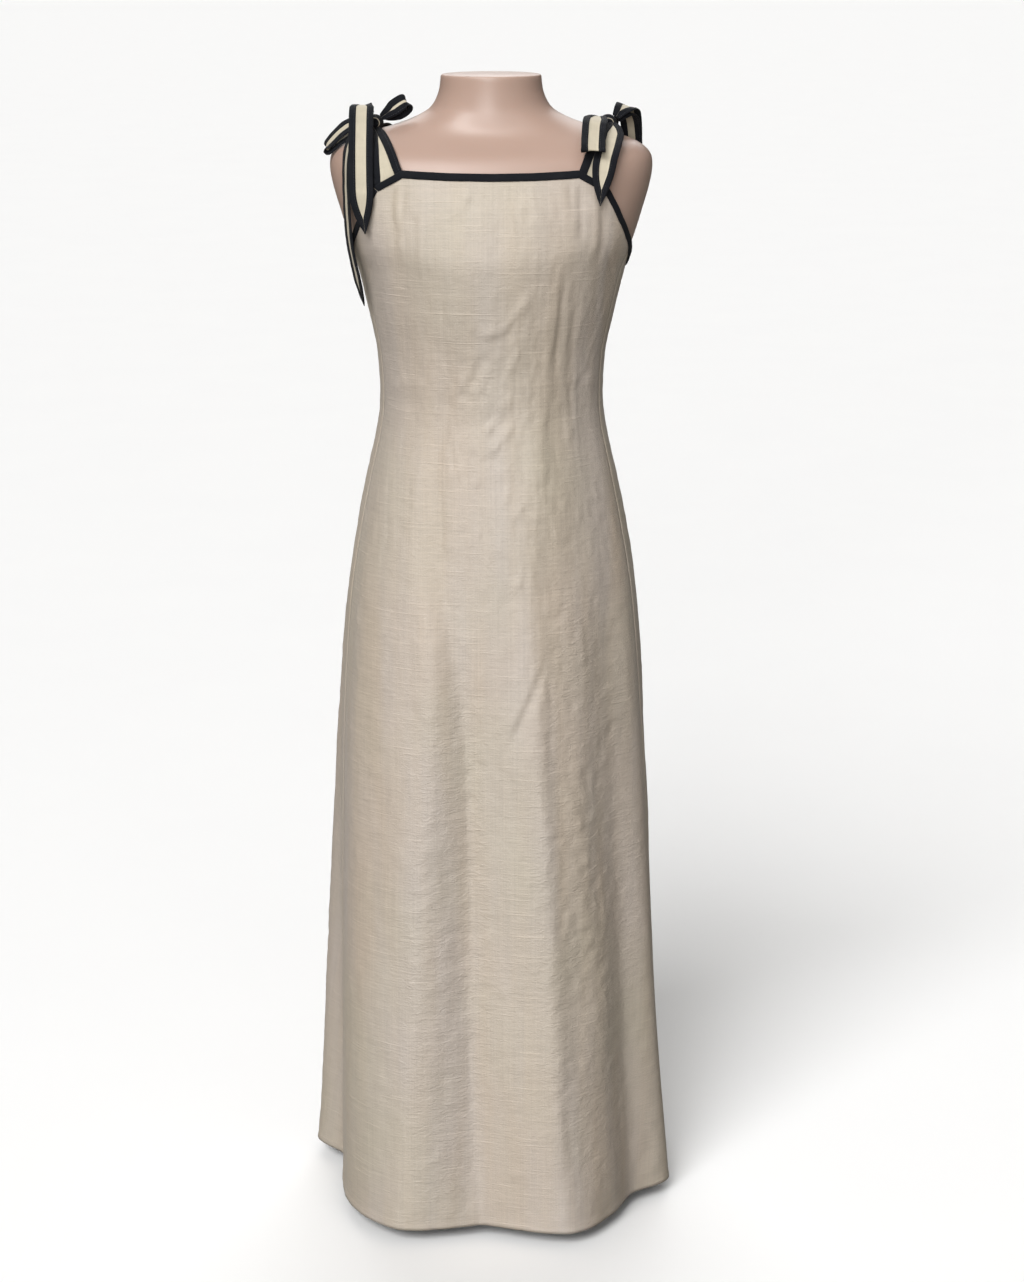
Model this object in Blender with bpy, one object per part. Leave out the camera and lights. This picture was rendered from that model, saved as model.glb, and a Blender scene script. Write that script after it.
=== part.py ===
"""Sleeveless A-line sundress with tied shoulder straps, worn by a limbless dress form.

The form is a smooth torso on a pole and a round base. Metres, +Z up; the dress faces -Y, the wearer's
left is +X, and the origin is the middle of the base's underside.
"""

import functools
import math

import bmesh
import bpy
from mathutils import Vector

CLOTH_THICKNESS = 0.0015
TAPE_THICKNESS = 0.0012
TIE_THICKNESS = 0.0014
SEAM_GAP = 0.0003
TAPE_CLEARANCE = 0.0007  # between the tape and the flat facets of the panel below it
ARMHOLE_CLEARANCE = 0.0013

HEM_HEIGHT = 0.018
YOKE_HEIGHT = 1.100  # above this the rows of the panels fan out to the curved top edge
SIDE_SEAM_ANGLE = 75.0  # degrees round from the centre front
SEAM_TURN = 0.16  # degrees left free on each side of a side seam
NECK_CORNER_ANGLE = 47.5  # where the straight neckline ends and the strap begins
STRAP_CORNER_ANGLE = 57.7  # where the strap ends and the armhole begins
BACK_STRAP_CORNER_ANGLE = 122.5
BACK_NECK_CORNER_ANGLE = 133.0

GATHER = 0.38  # share of its width that a tie keeps where it leaves the knot
BINDING_WIDTH = 0.0072
ARMHOLE_BINDING_WIDTH = 0.0068
CORNER_GAP = 0.12  # degrees left free where two bindings meet at a strap's corner

PANEL_STEP = 4.6  # degrees between the columns of a panel
BINDING_STEP = 4.5
PANEL_HEIGHTS = (HEM_HEIGHT, 0.07, 0.14, 0.22, 0.31, 0.40, 0.495, 0.59, 0.68, 0.76,
                 0.83, 0.89, 0.94, 0.985, 1.03, 1.065, YOKE_HEIGHT)
YOKE_SHARES = (0.18, 0.36, 0.52, 0.66, 0.79, 0.90, 1.0)  # rows from the yoke to the top edge

POLE_RADIUS = 0.0125
BASE_RADIUS = 0.150
BASE_THICKNESS = 0.010
FORM_BOTTOM = 0.780
SHOULDER_CENTRE = 1.262  # height inside the shoulder that the straps turn round

# Level sections of the dress, without its folds. Squareness 2 is an ellipse, more is boxier.
# height, half_width, front, back, squareness
DRESS_SECTIONS = (
    (0.000, 0.206, 0.199, 0.199, 2.60),
    (0.220, 0.200, 0.187, 0.187, 2.50),
    (0.360, 0.197, 0.176, 0.176, 2.45),
    (0.495, 0.193, 0.165, 0.166, 2.40),
    (0.627, 0.187, 0.154, 0.156, 2.35),
    (0.731, 0.1795, 0.144, 0.147, 2.30),
    (0.807, 0.1715, 0.134, 0.139, 2.25),
    (0.882, 0.158, 0.124, 0.129, 2.20),
    (0.932, 0.147, 0.116, 0.120, 2.20),
    (0.981, 0.136, 0.108, 0.106, 2.15),
    (1.010, 0.1322, 0.105, 0.097, 2.15),
    (1.040, 0.1322, 0.106, 0.093, 2.15),
    (1.077, 0.1350, 0.110, 0.092, 2.15),
    (1.125, 0.1450, 0.119, 0.094, 2.15),
    (1.172, 0.1570, 0.1255, 0.097, 2.15),
    (1.200, 0.1700, 0.1250, 0.099, 2.20),
    (1.235, 0.1805, 0.1185, 0.100, 2.20),
    (1.265, 0.1890, 0.1095, 0.0985, 2.20),
    (1.300, 0.1930, 0.0980, 0.0940, 2.20),
)

# Level sections of the dress form, with the same columns.
FORM_SECTIONS = (
    (0.780, 0.1440, 0.0960, 0.1040, 2.20),
    (0.860, 0.1500, 0.1080, 0.1160, 2.20),
    (0.900, 0.1475, 0.1065, 0.1140, 2.20),
    (0.932, 0.1405, 0.1040, 0.1080, 2.20),
    (0.981, 0.1290, 0.0980, 0.0960, 2.15),
    (1.010, 0.1252, 0.0955, 0.0880, 2.15),
    (1.040, 0.1252, 0.0960, 0.0855, 2.15),
    (1.077, 0.1280, 0.1010, 0.0850, 2.15),
    (1.125, 0.1390, 0.1110, 0.0875, 2.15),
    (1.172, 0.1515, 0.1185, 0.0910, 2.15),
    (1.200, 0.1640, 0.1185, 0.0930, 2.20),
    (1.235, 0.1750, 0.1120, 0.0940, 2.20),
    (1.265, 0.1835, 0.1035, 0.0925, 2.20),
    (1.286, 0.1865, 0.0960, 0.0895, 2.20),
    (1.300, 0.1830, 0.0870, 0.0850, 2.20),
    (1.3115, 0.1690, 0.0745, 0.0780, 2.20),
    (1.321, 0.1440, 0.0650, 0.0730, 2.15),
    (1.330, 0.1130, 0.0600, 0.0700, 2.10),
    (1.340, 0.0860, 0.0575, 0.0680, 2.05),
    (1.350, 0.0700, 0.0555, 0.0655, 2.00),
    (1.367, 0.0605, 0.0545, 0.0620, 2.00),
    (1.387, 0.0575, 0.0545, 0.0600, 2.00),
)

# The skirt's ridges and hollows, in order round the dress. Crispness 0 is a round fold and 1 a
# creased one. Each has rows of height, angle and how far it stands out in millimetres.
# crispness, rows
FOLDS = (
    (0.2, ((0.018, -153, -13), (0.40, -153, -6), (0.78, -153, 0))),
    (0.1, ((0.018, -127, 20), (0.40, -127, 9), (0.84, -128, 0))),
    (0.2, ((0.018, -112, -4), (0.40, -112, -1), (0.78, -112, 0))),
    (0.3, ((0.018, -98, 30), (0.40, -97, 12), (0.80, -97, 0))),
    (0.3, ((0.018, -85, -14), (0.40, -85, -7), (0.78, -85, 0))),
    (0.0, ((0.018, -72, -9), (0.40, -73, -5), (0.78, -74, 0), (1.20, -74, 0))),
    (0.0, ((0.018, -49, 11), (0.30, -52, 13), (0.60, -56, 9), (0.86, -60, 2.5), (1.03, -59, 1.5),
           (1.17, -49, 0))),
    (0.6, ((0.018, -30, 24), (0.30, -27, 20), (0.45, -26, 18), (0.60, -24, 14), (0.75, -28, 8),
           (0.88, -41, 2), (1.05, -40, 0.5), (1.17, -36, 0))),
    (0.8, ((0.018, -4, -6.5), (0.13, -7, -8), (0.30, -9, -9), (0.54, -10, -8), (0.68, -14, -5),
           (0.80, -23, -3), (0.90, -30, -2.5), (0.99, -31, -2), (1.10, -16, 0))),
    (0.9, ((0.018, 24, 28), (0.13, 22, 23), (0.30, 22, 18), (0.60, 20, 11), (0.80, 19, 6.5),
           (0.85, 21, 6), (0.94, 27, 5), (1.04, 33, 3.5), (1.17, 36, 1), (1.22, 36, 0))),
    (0.3, ((0.018, 32, 21), (0.13, 30, 14), (0.30, 29, 9), (0.60, 27, 5), (0.85, 31, 2), (1.04, 39, 0),
           (1.20, 42, 0))),
    (0.4, ((0.018, 39, 9), (0.13, 38, 7), (0.30, 37.5, 4), (0.55, 34.5, 2.5), (0.66, 35, 1.5),
           (0.85, 42, -0.5), (1.20, 50, 0))),
    (0.2, ((0.018, 56, -9), (0.30, 56, -14), (0.60, 56, -13), (0.84, 57, -5), (1.03, 58, -1),
           (1.20, 58, 0))),
    (0.2, ((0.018, 71, 25), (0.30, 69, 9), (0.60, 70, 0), (0.80, 70, -1), (1.00, 70, 0))),
    (0.2, ((0.018, 98, -14), (0.40, 98, -5), (0.74, 98, 0))),
    (0.2, ((0.018, 124, 22), (0.40, 124, 10), (0.86, 124, 0))),
    (0.4, ((0.018, 152, -12), (0.40, 152, -6), (0.80, 152, 0))),
    (0.2, ((0.018, 178, 18), (0.40, 178, 8), (0.88, 178, 0))),
)

# Top edge of the dress, from the centre front (0) round to the centre back (180); both sides alike.
# angle, height
TOP_EDGE = (
    (0.0, 1.2828),
    (25.0, 1.2834),
    (40.0, 1.2846),
    (NECK_CORNER_ANGLE, 1.2855),
    (STRAP_CORNER_ANGLE, 1.2675),
    (60.0, 1.2530),
    (63.8, 1.2330),
    (68.7, 1.2140),
    (75.0, 1.1960),
    (82.0, 1.1810),
    (92.0, 1.1740),
    (102.0, 1.1830),
    (110.0, 1.2000),
    (117.0, 1.2240),
    (BACK_STRAP_CORNER_ANGLE, 1.2500),
    (BACK_NECK_CORNER_ANGLE, 1.2660),
    (180.0, 1.2620),
)

# Angles where each panel has a corner in its top edge, between its two side seams.
FRONT_MARKS = (-SIDE_SEAM_ANGLE, -STRAP_CORNER_ANGLE, -NECK_CORNER_ANGLE, 0.0,
               NECK_CORNER_ANGLE, STRAP_CORNER_ANGLE, SIDE_SEAM_ANGLE)
BACK_MARKS = (SIDE_SEAM_ANGLE, BACK_STRAP_CORNER_ANGLE, BACK_NECK_CORNER_ANGLE, 180.0,
              360.0 - BACK_NECK_CORNER_ANGLE, 360.0 - BACK_STRAP_CORNER_ANGLE,
              360.0 - SIDE_SEAM_ANGLE)
ARMHOLE_MARKS = (STRAP_CORNER_ANGLE + CORNER_GAP, 60.0, 92.0, 117.0, BACK_STRAP_CORNER_ANGLE - CORNER_GAP)

# Where the two bows are tied, on top of the shoulders. Side is -1 for the wearer's right.
# side, x, y, z
KNOTS = {
    "right": (-1, -0.134, -0.008, 1.3332),
    "left": (1, 0.134, -0.009, 1.3334),
}
KNOT_RADII = (0.0100, 0.0105, 0.0090)

# Middle lines of the tied ribbons, from the knot outwards, and which way each ribbon's width lies.
# name, width, across, pointed, route
RIBBONS = (
    ("right_front_tail", 0.028, (1.0, 0.05, 0.0), True,
     ((-0.1386, -0.0090, 1.3418), (-0.1460, -0.0120, 1.3525), (-0.1472, -0.0300, 1.3500),
      (-0.1468, -0.0540, 1.3290), (-0.1462, -0.0780, 1.2980), (-0.1455, -0.0905, 1.2640),
      (-0.1440, -0.0925, 1.2370), (-0.1415, -0.0935, 1.2160))),
    ("right_side_tail", 0.022, (0.45, -1.0, 0.0), True,
     ((-0.1403, -0.0170, 1.3325), (-0.1505, -0.0290, 1.3270), (-0.1590, -0.0450, 1.3160),
      (-0.1635, -0.0590, 1.2960), (-0.1640, -0.0660, 1.2660), (-0.1630, -0.0700, 1.2330),
      (-0.1605, -0.0680, 1.2000), (-0.1545, -0.0600, 1.1650), (-0.1470, -0.0470, 1.1280))),
    ("right_inner_loop", 0.019, (0.64, -0.30, -0.70), False,
     ((-0.1257, -0.0141, 1.3394), (-0.1170, -0.0185, 1.3455), (-0.1065, -0.0195, 1.3535),
      (-0.0985, -0.0180, 1.3575), (-0.0960, -0.0155, 1.3540), (-0.1010, -0.0130, 1.3485),
      (-0.1100, -0.0105, 1.3440), (-0.1180, -0.0080, 1.3414), (-0.1245, -0.0054, 1.3409))),
    ("right_outer_loop", 0.023, (0.0, -0.78, -0.62), False,
     ((-0.1443, -0.0075, 1.3356), (-0.1580, -0.0100, 1.3335), (-0.1725, -0.0140, 1.3240),
      (-0.1870, -0.0165, 1.3095), (-0.1872, -0.0165, 1.3050), (-0.1735, -0.0140, 1.3150),
      (-0.1580, -0.0100, 1.3250), (-0.1448, -0.0080, 1.3302))),
    ("left_front_tail", 0.027, (1.0, 0.20, 0.0), True,
     ((0.1391, -0.0199, 1.3335), (0.1390, -0.0380, 1.3270), (0.1345, -0.0640, 1.3140),
      (0.1290, -0.0830, 1.2980), (0.1255, -0.0915, 1.2780), (0.1240, -0.0950, 1.2620),
      (0.1230, -0.0985, 1.2480))),
    ("left_back_tail", 0.025, (1.0, -0.25, 0.0), True,
     ((0.1369, 0.0015, 1.3330), (0.1365, 0.0200, 1.3370), (0.1360, 0.0480, 1.3250),
      (0.1365, 0.0755, 1.2960), (0.1370, 0.0920, 1.2560), (0.1365, 0.0985, 1.2150))),
    ("left_front_loop", 0.028, (1.0, 0.25, -0.10), False,
     ((0.1256, -0.0172, 1.3395), (0.1215, -0.0330, 1.3415), (0.1175, -0.0560, 1.3365),
      (0.1155, -0.0780, 1.3220), (0.1147, -0.0915, 1.3120), (0.1150, -0.0905, 1.3090),
      (0.1155, -0.0760, 1.3160), (0.1170, -0.0550, 1.3295), (0.1200, -0.0340, 1.3370),
      (0.1244, -0.0172, 1.3350))),
    ("left_outer_loop", 0.024, (1.0, 0.10, -0.30), False,
     ((0.1432, -0.0100, 1.3396), (0.1500, -0.0030, 1.3480), (0.1570, 0.0110, 1.3505),
      (0.1615, 0.0270, 1.3440), (0.1640, 0.0410, 1.3280), (0.1650, 0.0500, 1.3080),
      (0.1650, 0.0470, 1.3060), (0.1630, 0.0370, 1.3240), (0.1595, 0.0235, 1.3380),
      (0.1545, 0.0090, 1.3440), (0.1490, -0.0020, 1.3410), (0.1448, -0.0054, 1.3364))),
)

COLOURS = {  # name: (colour, roughness, metallic)
    "cloth": ((0.56, 0.48, 0.38), 0.55, 0.0),
    "binding": ((0.008, 0.010, 0.017), 0.65, 0.0),
    "tie": ((0.55, 0.49, 0.36), 0.60, 0.0),
    "form": ((0.58, 0.41, 0.34), 0.45, 0.0),
    "metal": ((0.60, 0.60, 0.60), 0.35, 1.0),
}


def clear_scene():
    for thing in list(bpy.data.objects):
        bpy.data.objects.remove(thing, do_unlink=True)


def colour(thing, name):
    """Gives an object its own Principled material in the named colour."""
    base, roughness, metallic = COLOURS[name]
    material = bpy.data.materials.new(thing.name)
    material.use_nodes = True
    shader = material.node_tree.nodes["Principled BSDF"]
    shader.inputs["Base Color"].default_value = (*base, 1.0)
    shader.inputs["Roughness"].default_value = roughness
    shader.inputs["Metallic"].default_value = metallic
    thing.data.materials.append(material)


def blend(rows, place):
    """Values of a table at a place in its first column, on a smooth curve through its rows."""
    last = len(rows) - 1
    if place <= rows[0][0]:
        return rows[0][1:]
    if place >= rows[last][0]:
        return rows[last][1:]
    index = max(i for i in range(last) if rows[i][0] <= place)
    before, low, high, after = (rows[min(max(index + k, 0), last)] for k in (-1, 0, 1, 2))
    span = high[0] - low[0]
    t = (place - low[0]) / span
    values = []
    for column in range(1, len(low)):
        slope_low = (high[column] - before[column]) / (high[0] - before[0])
        slope_high = (after[column] - low[column]) / (after[0] - low[0])
        values.append(
            low[column] * (1 + 2 * t) * (1 - t) ** 2
            + high[column] * t * t * (3 - 2 * t)
            + slope_low * span * t * (1 - t) ** 2
            - slope_high * span * t * t * (1 - t)
        )
    return tuple(values)


def section_radius(sections, angle, height):
    """Distance from the axis to a level section, in a direction measured from the front."""
    half_width, front, back, squareness = blend(sections, height)
    across = abs(math.sin(math.radians(angle))) / half_width
    forward = math.cos(math.radians(angle))
    forward = forward / front if forward > 0 else -forward / back
    return (across**squareness + forward**squareness) ** (-1 / squareness)


@functools.cache
def fold_lines(height):
    """Angle, distance out and crispness of each fold at a height, once round and two over at each end."""
    lines = [(*blend(rows, height), crispness) for crispness, rows in FOLDS]
    before = [(angle - 360.0, out, crispness) for angle, out, crispness in lines[-2:]]
    after = [(angle + 360.0, out, crispness) for angle, out, crispness in lines[:2]]
    return before + lines + after


def fold_slope(before, after, kept, crispness):
    """Slope of the folds' curve at a fold line, between the chords before and after it.

    It is level at the top of a ridge. A crisp line keeps the slope of the chord on its own side."""
    level = 2 * before * after / (before + after) if before * after > 0 else 0.0
    return level + (kept - level) * crispness


def fold_swell(angle, height):
    """How far the folds carry the cloth outwards, on a curve round the dress through its fold lines."""
    angle = (angle + 180.0) % 360.0 - 180.0
    lines = fold_lines(height)
    index = max(k for k in range(1, len(lines) - 2) if lines[k][0] <= angle)
    near = lines[index - 1:index + 3]
    chords = [(high[1] - low[1]) / (high[0] - low[0]) for low, high in zip(near, near[1:])]
    low, high = near[1], near[2]
    leaving = fold_slope(chords[0], chords[1], chords[1], low[2])
    arriving = fold_slope(chords[1], chords[2], chords[1], high[2])
    span = high[0] - low[0]
    t = (angle - low[0]) / span
    swell = (
        low[1] * (1 + 2 * t) * (1 - t) ** 2
        + high[1] * t * t * (3 - 2 * t)
        + leaving * span * t * (1 - t) ** 2
        - arriving * span * t * t * (1 - t)
    )
    return swell * 0.001


def dress_point(angle, height, out=0.0):
    """A point of the dress's outer face, moved out from the axis."""
    radius = section_radius(DRESS_SECTIONS, angle, height) + fold_swell(angle, height) + out
    turn = math.radians(angle)
    return Vector((radius * math.sin(turn), -radius * math.cos(turn), height))


def form_point(angle, height):
    radius = section_radius(FORM_SECTIONS, angle, height)
    turn = math.radians(angle)
    return Vector((radius * math.sin(turn), -radius * math.cos(turn), height))


def top_edge(angle):
    """Height of the dress's top edge, straight between the rows of its table."""
    place = abs((angle + 180.0) % 360.0 - 180.0)
    for (low, low_height), (high, high_height) in zip(TOP_EDGE, TOP_EDGE[1:]):
        if place <= high:
            return low_height + (high_height - low_height) * (place - low) / (high - low)
    return TOP_EDGE[-1][1]


def spaced(marks, step):
    """Values through all the marks, evenly spread between each two and about a step apart."""
    values = [marks[0]]
    for start, end in zip(marks, marks[1:]):
        count = max(1, round((end - start) / step))
        values += [start + (end - start) * k / count for k in range(1, count + 1)]
    return values


def mesh_object(name, mesh, look):
    data = bpy.data.meshes.new(name)
    mesh.to_mesh(data)
    mesh.free()
    thing = bpy.data.objects.new(name, data)
    bpy.context.scene.collection.objects.link(thing)
    colour(thing, look)
    return thing


def sheet(name, rows, thickness, look, centre=None):
    """A thin closed sheet: rows of points on its outer face, with Solidify adding the inner one.

    The face looks away from the centre, where one is given."""
    if centre is not None:
        middle = len(rows) // 2
        corner, along, up = rows[middle][0], rows[middle][1], rows[middle + 1][0]
        if (along - corner).cross(up - corner).dot(corner - centre) < 0:
            rows = [row[::-1] for row in rows]
    mesh = bmesh.new()
    grid = [[mesh.verts.new(point) for point in row] for row in rows]
    for low, high in zip(grid, grid[1:]):
        for k in range(len(low) - 1):
            mesh.faces.new((low[k], low[k + 1], high[k + 1], high[k]))
    thing = mesh_object(name, mesh, look)
    solid = thing.modifiers.new("thickness", "SOLIDIFY")
    solid.thickness = thickness
    solid.offset = -1.0
    thing.data.shade_smooth()
    return thing


def panel(name, marks):
    """Front or back panel between its side seams, from the hem to the shaped top edge."""
    angles = spaced(marks, PANEL_STEP)
    angles[0] += SEAM_TURN
    angles[-1] -= SEAM_TURN
    rows = [[dress_point(angle, height) for angle in angles] for height in PANEL_HEIGHTS]
    for share in YOKE_SHARES:
        rows.append(
            [dress_point(a, YOKE_HEIGHT + share * (top_edge(a) - YOKE_HEIGHT)) for a in angles]
        )
    return sheet(name, rows, CLOTH_THICKNESS, "cloth")


def edge_tape(name, marks, width, clearance=TAPE_CLEARANCE):
    """Bias tape on the outer face along the top edge, as wide as given, square to that edge."""
    angles = spaced(marks, BINDING_STEP)
    low_row, high_row = [], []
    for angle in angles:
        radius = section_radius(DRESS_SECTIONS, angle, top_edge(angle))
        # Run and rise of the edge, averaged over a little on each side, so that corners are mitred.
        run = radius * math.radians(2.0)
        rise = top_edge(angle + 1.0) - top_edge(angle - 1.0)
        length = math.hypot(run, rise)
        turn = math.degrees(width * rise / length / radius)
        drop = width * run / length
        out = clearance + TAPE_THICKNESS
        high_row.append(dress_point(angle, top_edge(angle), out))
        low_row.append(dress_point(angle + turn, top_edge(angle) - drop, out))
    return sheet(name, [low_row, high_row], TAPE_THICKNESS, "binding")


def inside_form(point):
    half_width, front, back, squareness = blend(FORM_SECTIONS, point.z)
    depth = front if point.y < 0 else back
    filled = (abs(point.x) / half_width) ** squareness + (abs(point.y) / depth) ** squareness
    return filled < 1 and point.z < FORM_SECTIONS[-1][0]


def over_shoulder(x, elevation, clear):
    """A point just off the shoulder: x is kept, elevation turns from the front (0) to the back (180)."""
    turn = math.radians(elevation)
    heading = Vector((0.0, -math.cos(turn), math.sin(turn)))
    centre = Vector((x, 0.0, SHOULDER_CENTRE))
    near, far = 0.0, 0.2
    for _ in range(30):
        middle = (near + far) / 2
        if inside_form(centre + heading * middle):
            near = middle
        else:
            far = middle
    return centre + heading * (near + clear)


def strap(name, side, start_angles, start_elevations, end_elevation):
    """Shoulder strap from the top edge to the knot, close over the form and narrower at the knot."""
    inner_angle, outer_angle = start_angles
    knot_x = abs(KNOTS["left"][1])
    count = 9
    rows = []
    for k in range(count + 1):
        share = k / count
        lift = 0.0062 * (1 - share) ** 1.5 + 0.0022 + 0.0016 * share**2
        row = []
        for step in (0.0, 0.5, 1.0):
            angle = inner_angle + (outer_angle - inner_angle) * step
            foot = dress_point(angle, top_edge(angle) + SEAM_GAP)
            start_x = abs(foot.x)
            end_x = knot_x - 0.0065 + 0.013 * step
            first = start_elevations[0] + (start_elevations[1] - start_elevations[0]) * step
            elevation = first + (end_elevation - first) * share
            x = start_x + (end_x - start_x) * share**0.9
            point = over_shoulder(x, elevation, lift)
            settle = max(0.0, 1 - share * 4)
            foot.x = start_x
            row.append(point.lerp(foot, settle))
        rows.append([Vector((side * p.x, p.y, p.z)) for p in row])
    return sheet(name, rows, TIE_THICKNESS, "tie", Vector((side * knot_x, 0.0, SHOULDER_CENTRE)))


def smooth_route(points, per_span):
    """Points on a Catmull-Rom curve through a route."""
    route = [Vector(p) for p in points]
    route = [2 * route[0] - route[1]] + route + [2 * route[-1] - route[-2]]
    line = []
    for a, b, c, d in zip(route, route[1:], route[2:], route[3:]):
        for k in range(per_span):
            t = k / per_span
            line.append(
                0.5 * (2 * b + (c - a) * t + (2 * a - 5 * b + 4 * c - d) * t**2
                       + (3 * b - a - 3 * c + d) * t**3)
            )
    line.append(route[-2])
    return line


def ribbon(name, width, across, pointed, route):
    """A tie's loop or tail: a flat closed band along its route, with a pointed end on a tail."""
    line = smooth_route(route, 2)
    wide = Vector(across).normalized()
    total = sum((b - a).length for a, b in zip(line, line[1:]))
    point_length = 1.3 * width
    rows = []
    run = 0.0
    for k, here in enumerate(line):
        if k:
            run += (here - line[k - 1]).length
        ahead = line[min(k + 1, len(line) - 1)] - line[max(k - 1, 0)]
        sideways = (wide - ahead.normalized() * wide.dot(ahead.normalized())).normalized()
        half = width / 2
        gathered = GATHER + (1 - GATHER) * min(1.0, run / width)
        if pointed:
            half *= gathered * min(1.0, max(0.12, (total - run) / point_length))
        else:
            half *= min(gathered, GATHER + (1 - GATHER) * min(1.0, (total - run) / width))
        rows.append([here - sideways * half, here + sideways * half])
    return sheet(name, rows, TIE_THICKNESS, "tie")


def knot(name, side_row):
    """The tied knot, a small rounded lump on the shoulder."""
    _, x, y, z = side_row
    mesh = bmesh.new()
    bmesh.ops.create_uvsphere(mesh, u_segments=12, v_segments=8, radius=1.0)
    for vert in mesh.verts:
        vert.co = Vector((x, y, z)) + Vector([c * r for c, r in zip(vert.co, KNOT_RADII)])
    thing = mesh_object(name, mesh, "binding")
    thing.data.shade_smooth()
    return thing


def torso():
    """The dress form's smooth torso, flat at the neck and closed at the hips."""
    heights = spaced([row[0] for row in FORM_SECTIONS], 0.04)
    mesh = bmesh.new()
    rings = []
    for height in heights:
        rings.append([mesh.verts.new(form_point(10.0 * k, height)) for k in range(36)])
    for low, high in zip(rings, rings[1:]):
        for k in range(36):
            mesh.faces.new((low[k], low[(k + 1) % 36], high[(k + 1) % 36], high[k]))
    mesh.faces.new(rings[0][::-1])
    mesh.faces.new(rings[-1])
    thing = mesh_object("form_torso", mesh, "form")
    thing.data.shade_smooth()
    thing.data.set_sharp_from_angle(angle=math.radians(50))
    return thing


def disc(name, radius, bottom, top, look):
    """An upright round solid."""
    mesh = bmesh.new()
    bmesh.ops.create_cone(
        mesh, cap_ends=True, segments=48, radius1=radius, radius2=radius, depth=top - bottom
    )
    bmesh.ops.translate(mesh, verts=mesh.verts, vec=(0.0, 0.0, (bottom + top) / 2))
    return mesh_object(name, mesh, look)


clear_scene()
torso()
disc("form_pole", POLE_RADIUS, BASE_THICKNESS + SEAM_GAP, FORM_BOTTOM - SEAM_GAP, "metal")
disc("form_base", BASE_RADIUS, 0.0, BASE_THICKNESS, "metal")

panel("front_panel", FRONT_MARKS)
panel("back_panel", BACK_MARKS)

edge_tape("front_neck_binding", (-STRAP_CORNER_ANGLE + CORNER_GAP, *FRONT_MARKS[2:5],
                                 STRAP_CORNER_ANGLE - CORNER_GAP), BINDING_WIDTH)
edge_tape("back_neck_binding", (BACK_STRAP_CORNER_ANGLE + CORNER_GAP, *BACK_MARKS[2:5],
                                360.0 - BACK_STRAP_CORNER_ANGLE - CORNER_GAP), BINDING_WIDTH)
edge_tape("left_armhole_binding", ARMHOLE_MARKS, ARMHOLE_BINDING_WIDTH, ARMHOLE_CLEARANCE)
edge_tape("right_armhole_binding", [-angle for angle in reversed(ARMHOLE_MARKS)],
          ARMHOLE_BINDING_WIDTH, ARMHOLE_CLEARANCE)

for side_name, side_row in KNOTS.items():
    side = side_row[0]
    strap(f"{side_name}_front_strap", side, (NECK_CORNER_ANGLE, STRAP_CORNER_ANGLE), (14.7, 4.0), 75.4)
    strap(f"{side_name}_back_strap", side, (BACK_NECK_CORNER_ANGLE, BACK_STRAP_CORNER_ANGLE),
          (177.0, 187.0), 91.0)
    knot(f"{side_name}_knot", side_row)

for ribbon_row in RIBBONS:
    ribbon(*ribbon_row)
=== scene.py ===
"""Sleeveless A-line sundress with bows on its shoulders, on a limbless dress form.

Metres, +Z up. The dress faces -Y, and the wearer's left is +X. Angles round the dress are counted
from its centre front, with +X at 90 degrees.
"""

import math

import bmesh
import bpy
import numpy as np
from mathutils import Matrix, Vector, noise


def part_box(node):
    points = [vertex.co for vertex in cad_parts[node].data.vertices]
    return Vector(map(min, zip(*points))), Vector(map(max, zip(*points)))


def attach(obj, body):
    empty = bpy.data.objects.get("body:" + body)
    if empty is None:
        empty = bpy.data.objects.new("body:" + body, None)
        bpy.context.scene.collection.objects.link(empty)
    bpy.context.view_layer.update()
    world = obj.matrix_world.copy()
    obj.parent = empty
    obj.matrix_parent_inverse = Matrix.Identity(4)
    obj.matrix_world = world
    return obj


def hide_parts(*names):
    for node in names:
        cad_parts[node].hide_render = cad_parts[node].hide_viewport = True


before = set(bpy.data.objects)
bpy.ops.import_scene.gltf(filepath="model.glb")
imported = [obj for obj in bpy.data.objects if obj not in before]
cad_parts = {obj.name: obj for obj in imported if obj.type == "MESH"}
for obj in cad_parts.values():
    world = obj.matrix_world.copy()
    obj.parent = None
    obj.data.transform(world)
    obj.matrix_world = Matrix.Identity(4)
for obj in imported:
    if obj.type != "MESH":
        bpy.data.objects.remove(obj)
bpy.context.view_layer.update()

# Camera, light and floor. A portrait lens a little above the shoulders looks down at the whole dress.
# Broad soft lights stand to the front and behind, and a white room fills the shadows.
scene = bpy.context.scene
scene.view_settings.view_transform = "Standard"

CAMERA_PLACE = (0.024, -2.82, 1.545)
CAMERA_DOWN = 16.5
camera_data = bpy.data.cameras.new("camera")
camera_data.lens = 67.4
camera = bpy.data.objects.new("camera", camera_data)
camera.location = CAMERA_PLACE
camera.rotation_euler = (math.radians(90.0 - CAMERA_DOWN), 0.0, 0.0)
scene.collection.objects.link(camera)
scene.camera = camera

# name: (turn round from the front, height above level, strength, softness), angles in degrees
LIGHTS = {
    "window_light": (-26.0, 43.0, 2.55, 32.0),
    "front_light": (-7.0, 10.0, 1.30, 24.0),
    "back_light": (180.0, 38.0, 1.50, 50.0),
}
for light_name, (turn, rise, strength, softness) in LIGHTS.items():
    light_data = bpy.data.lights.new(light_name, "SUN")
    light_data.energy = strength
    light_data.angle = math.radians(softness)
    yarn_tone_and_painted_shade = bpy.data.objects.new(light_name, light_data)
    yarn_tone_and_painted_shade.rotation_euler = (math.radians(90.0 - rise), 0.0, math.radians(turn))
    scene.collection.objects.link(yarn_tone_and_painted_shade)

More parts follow.
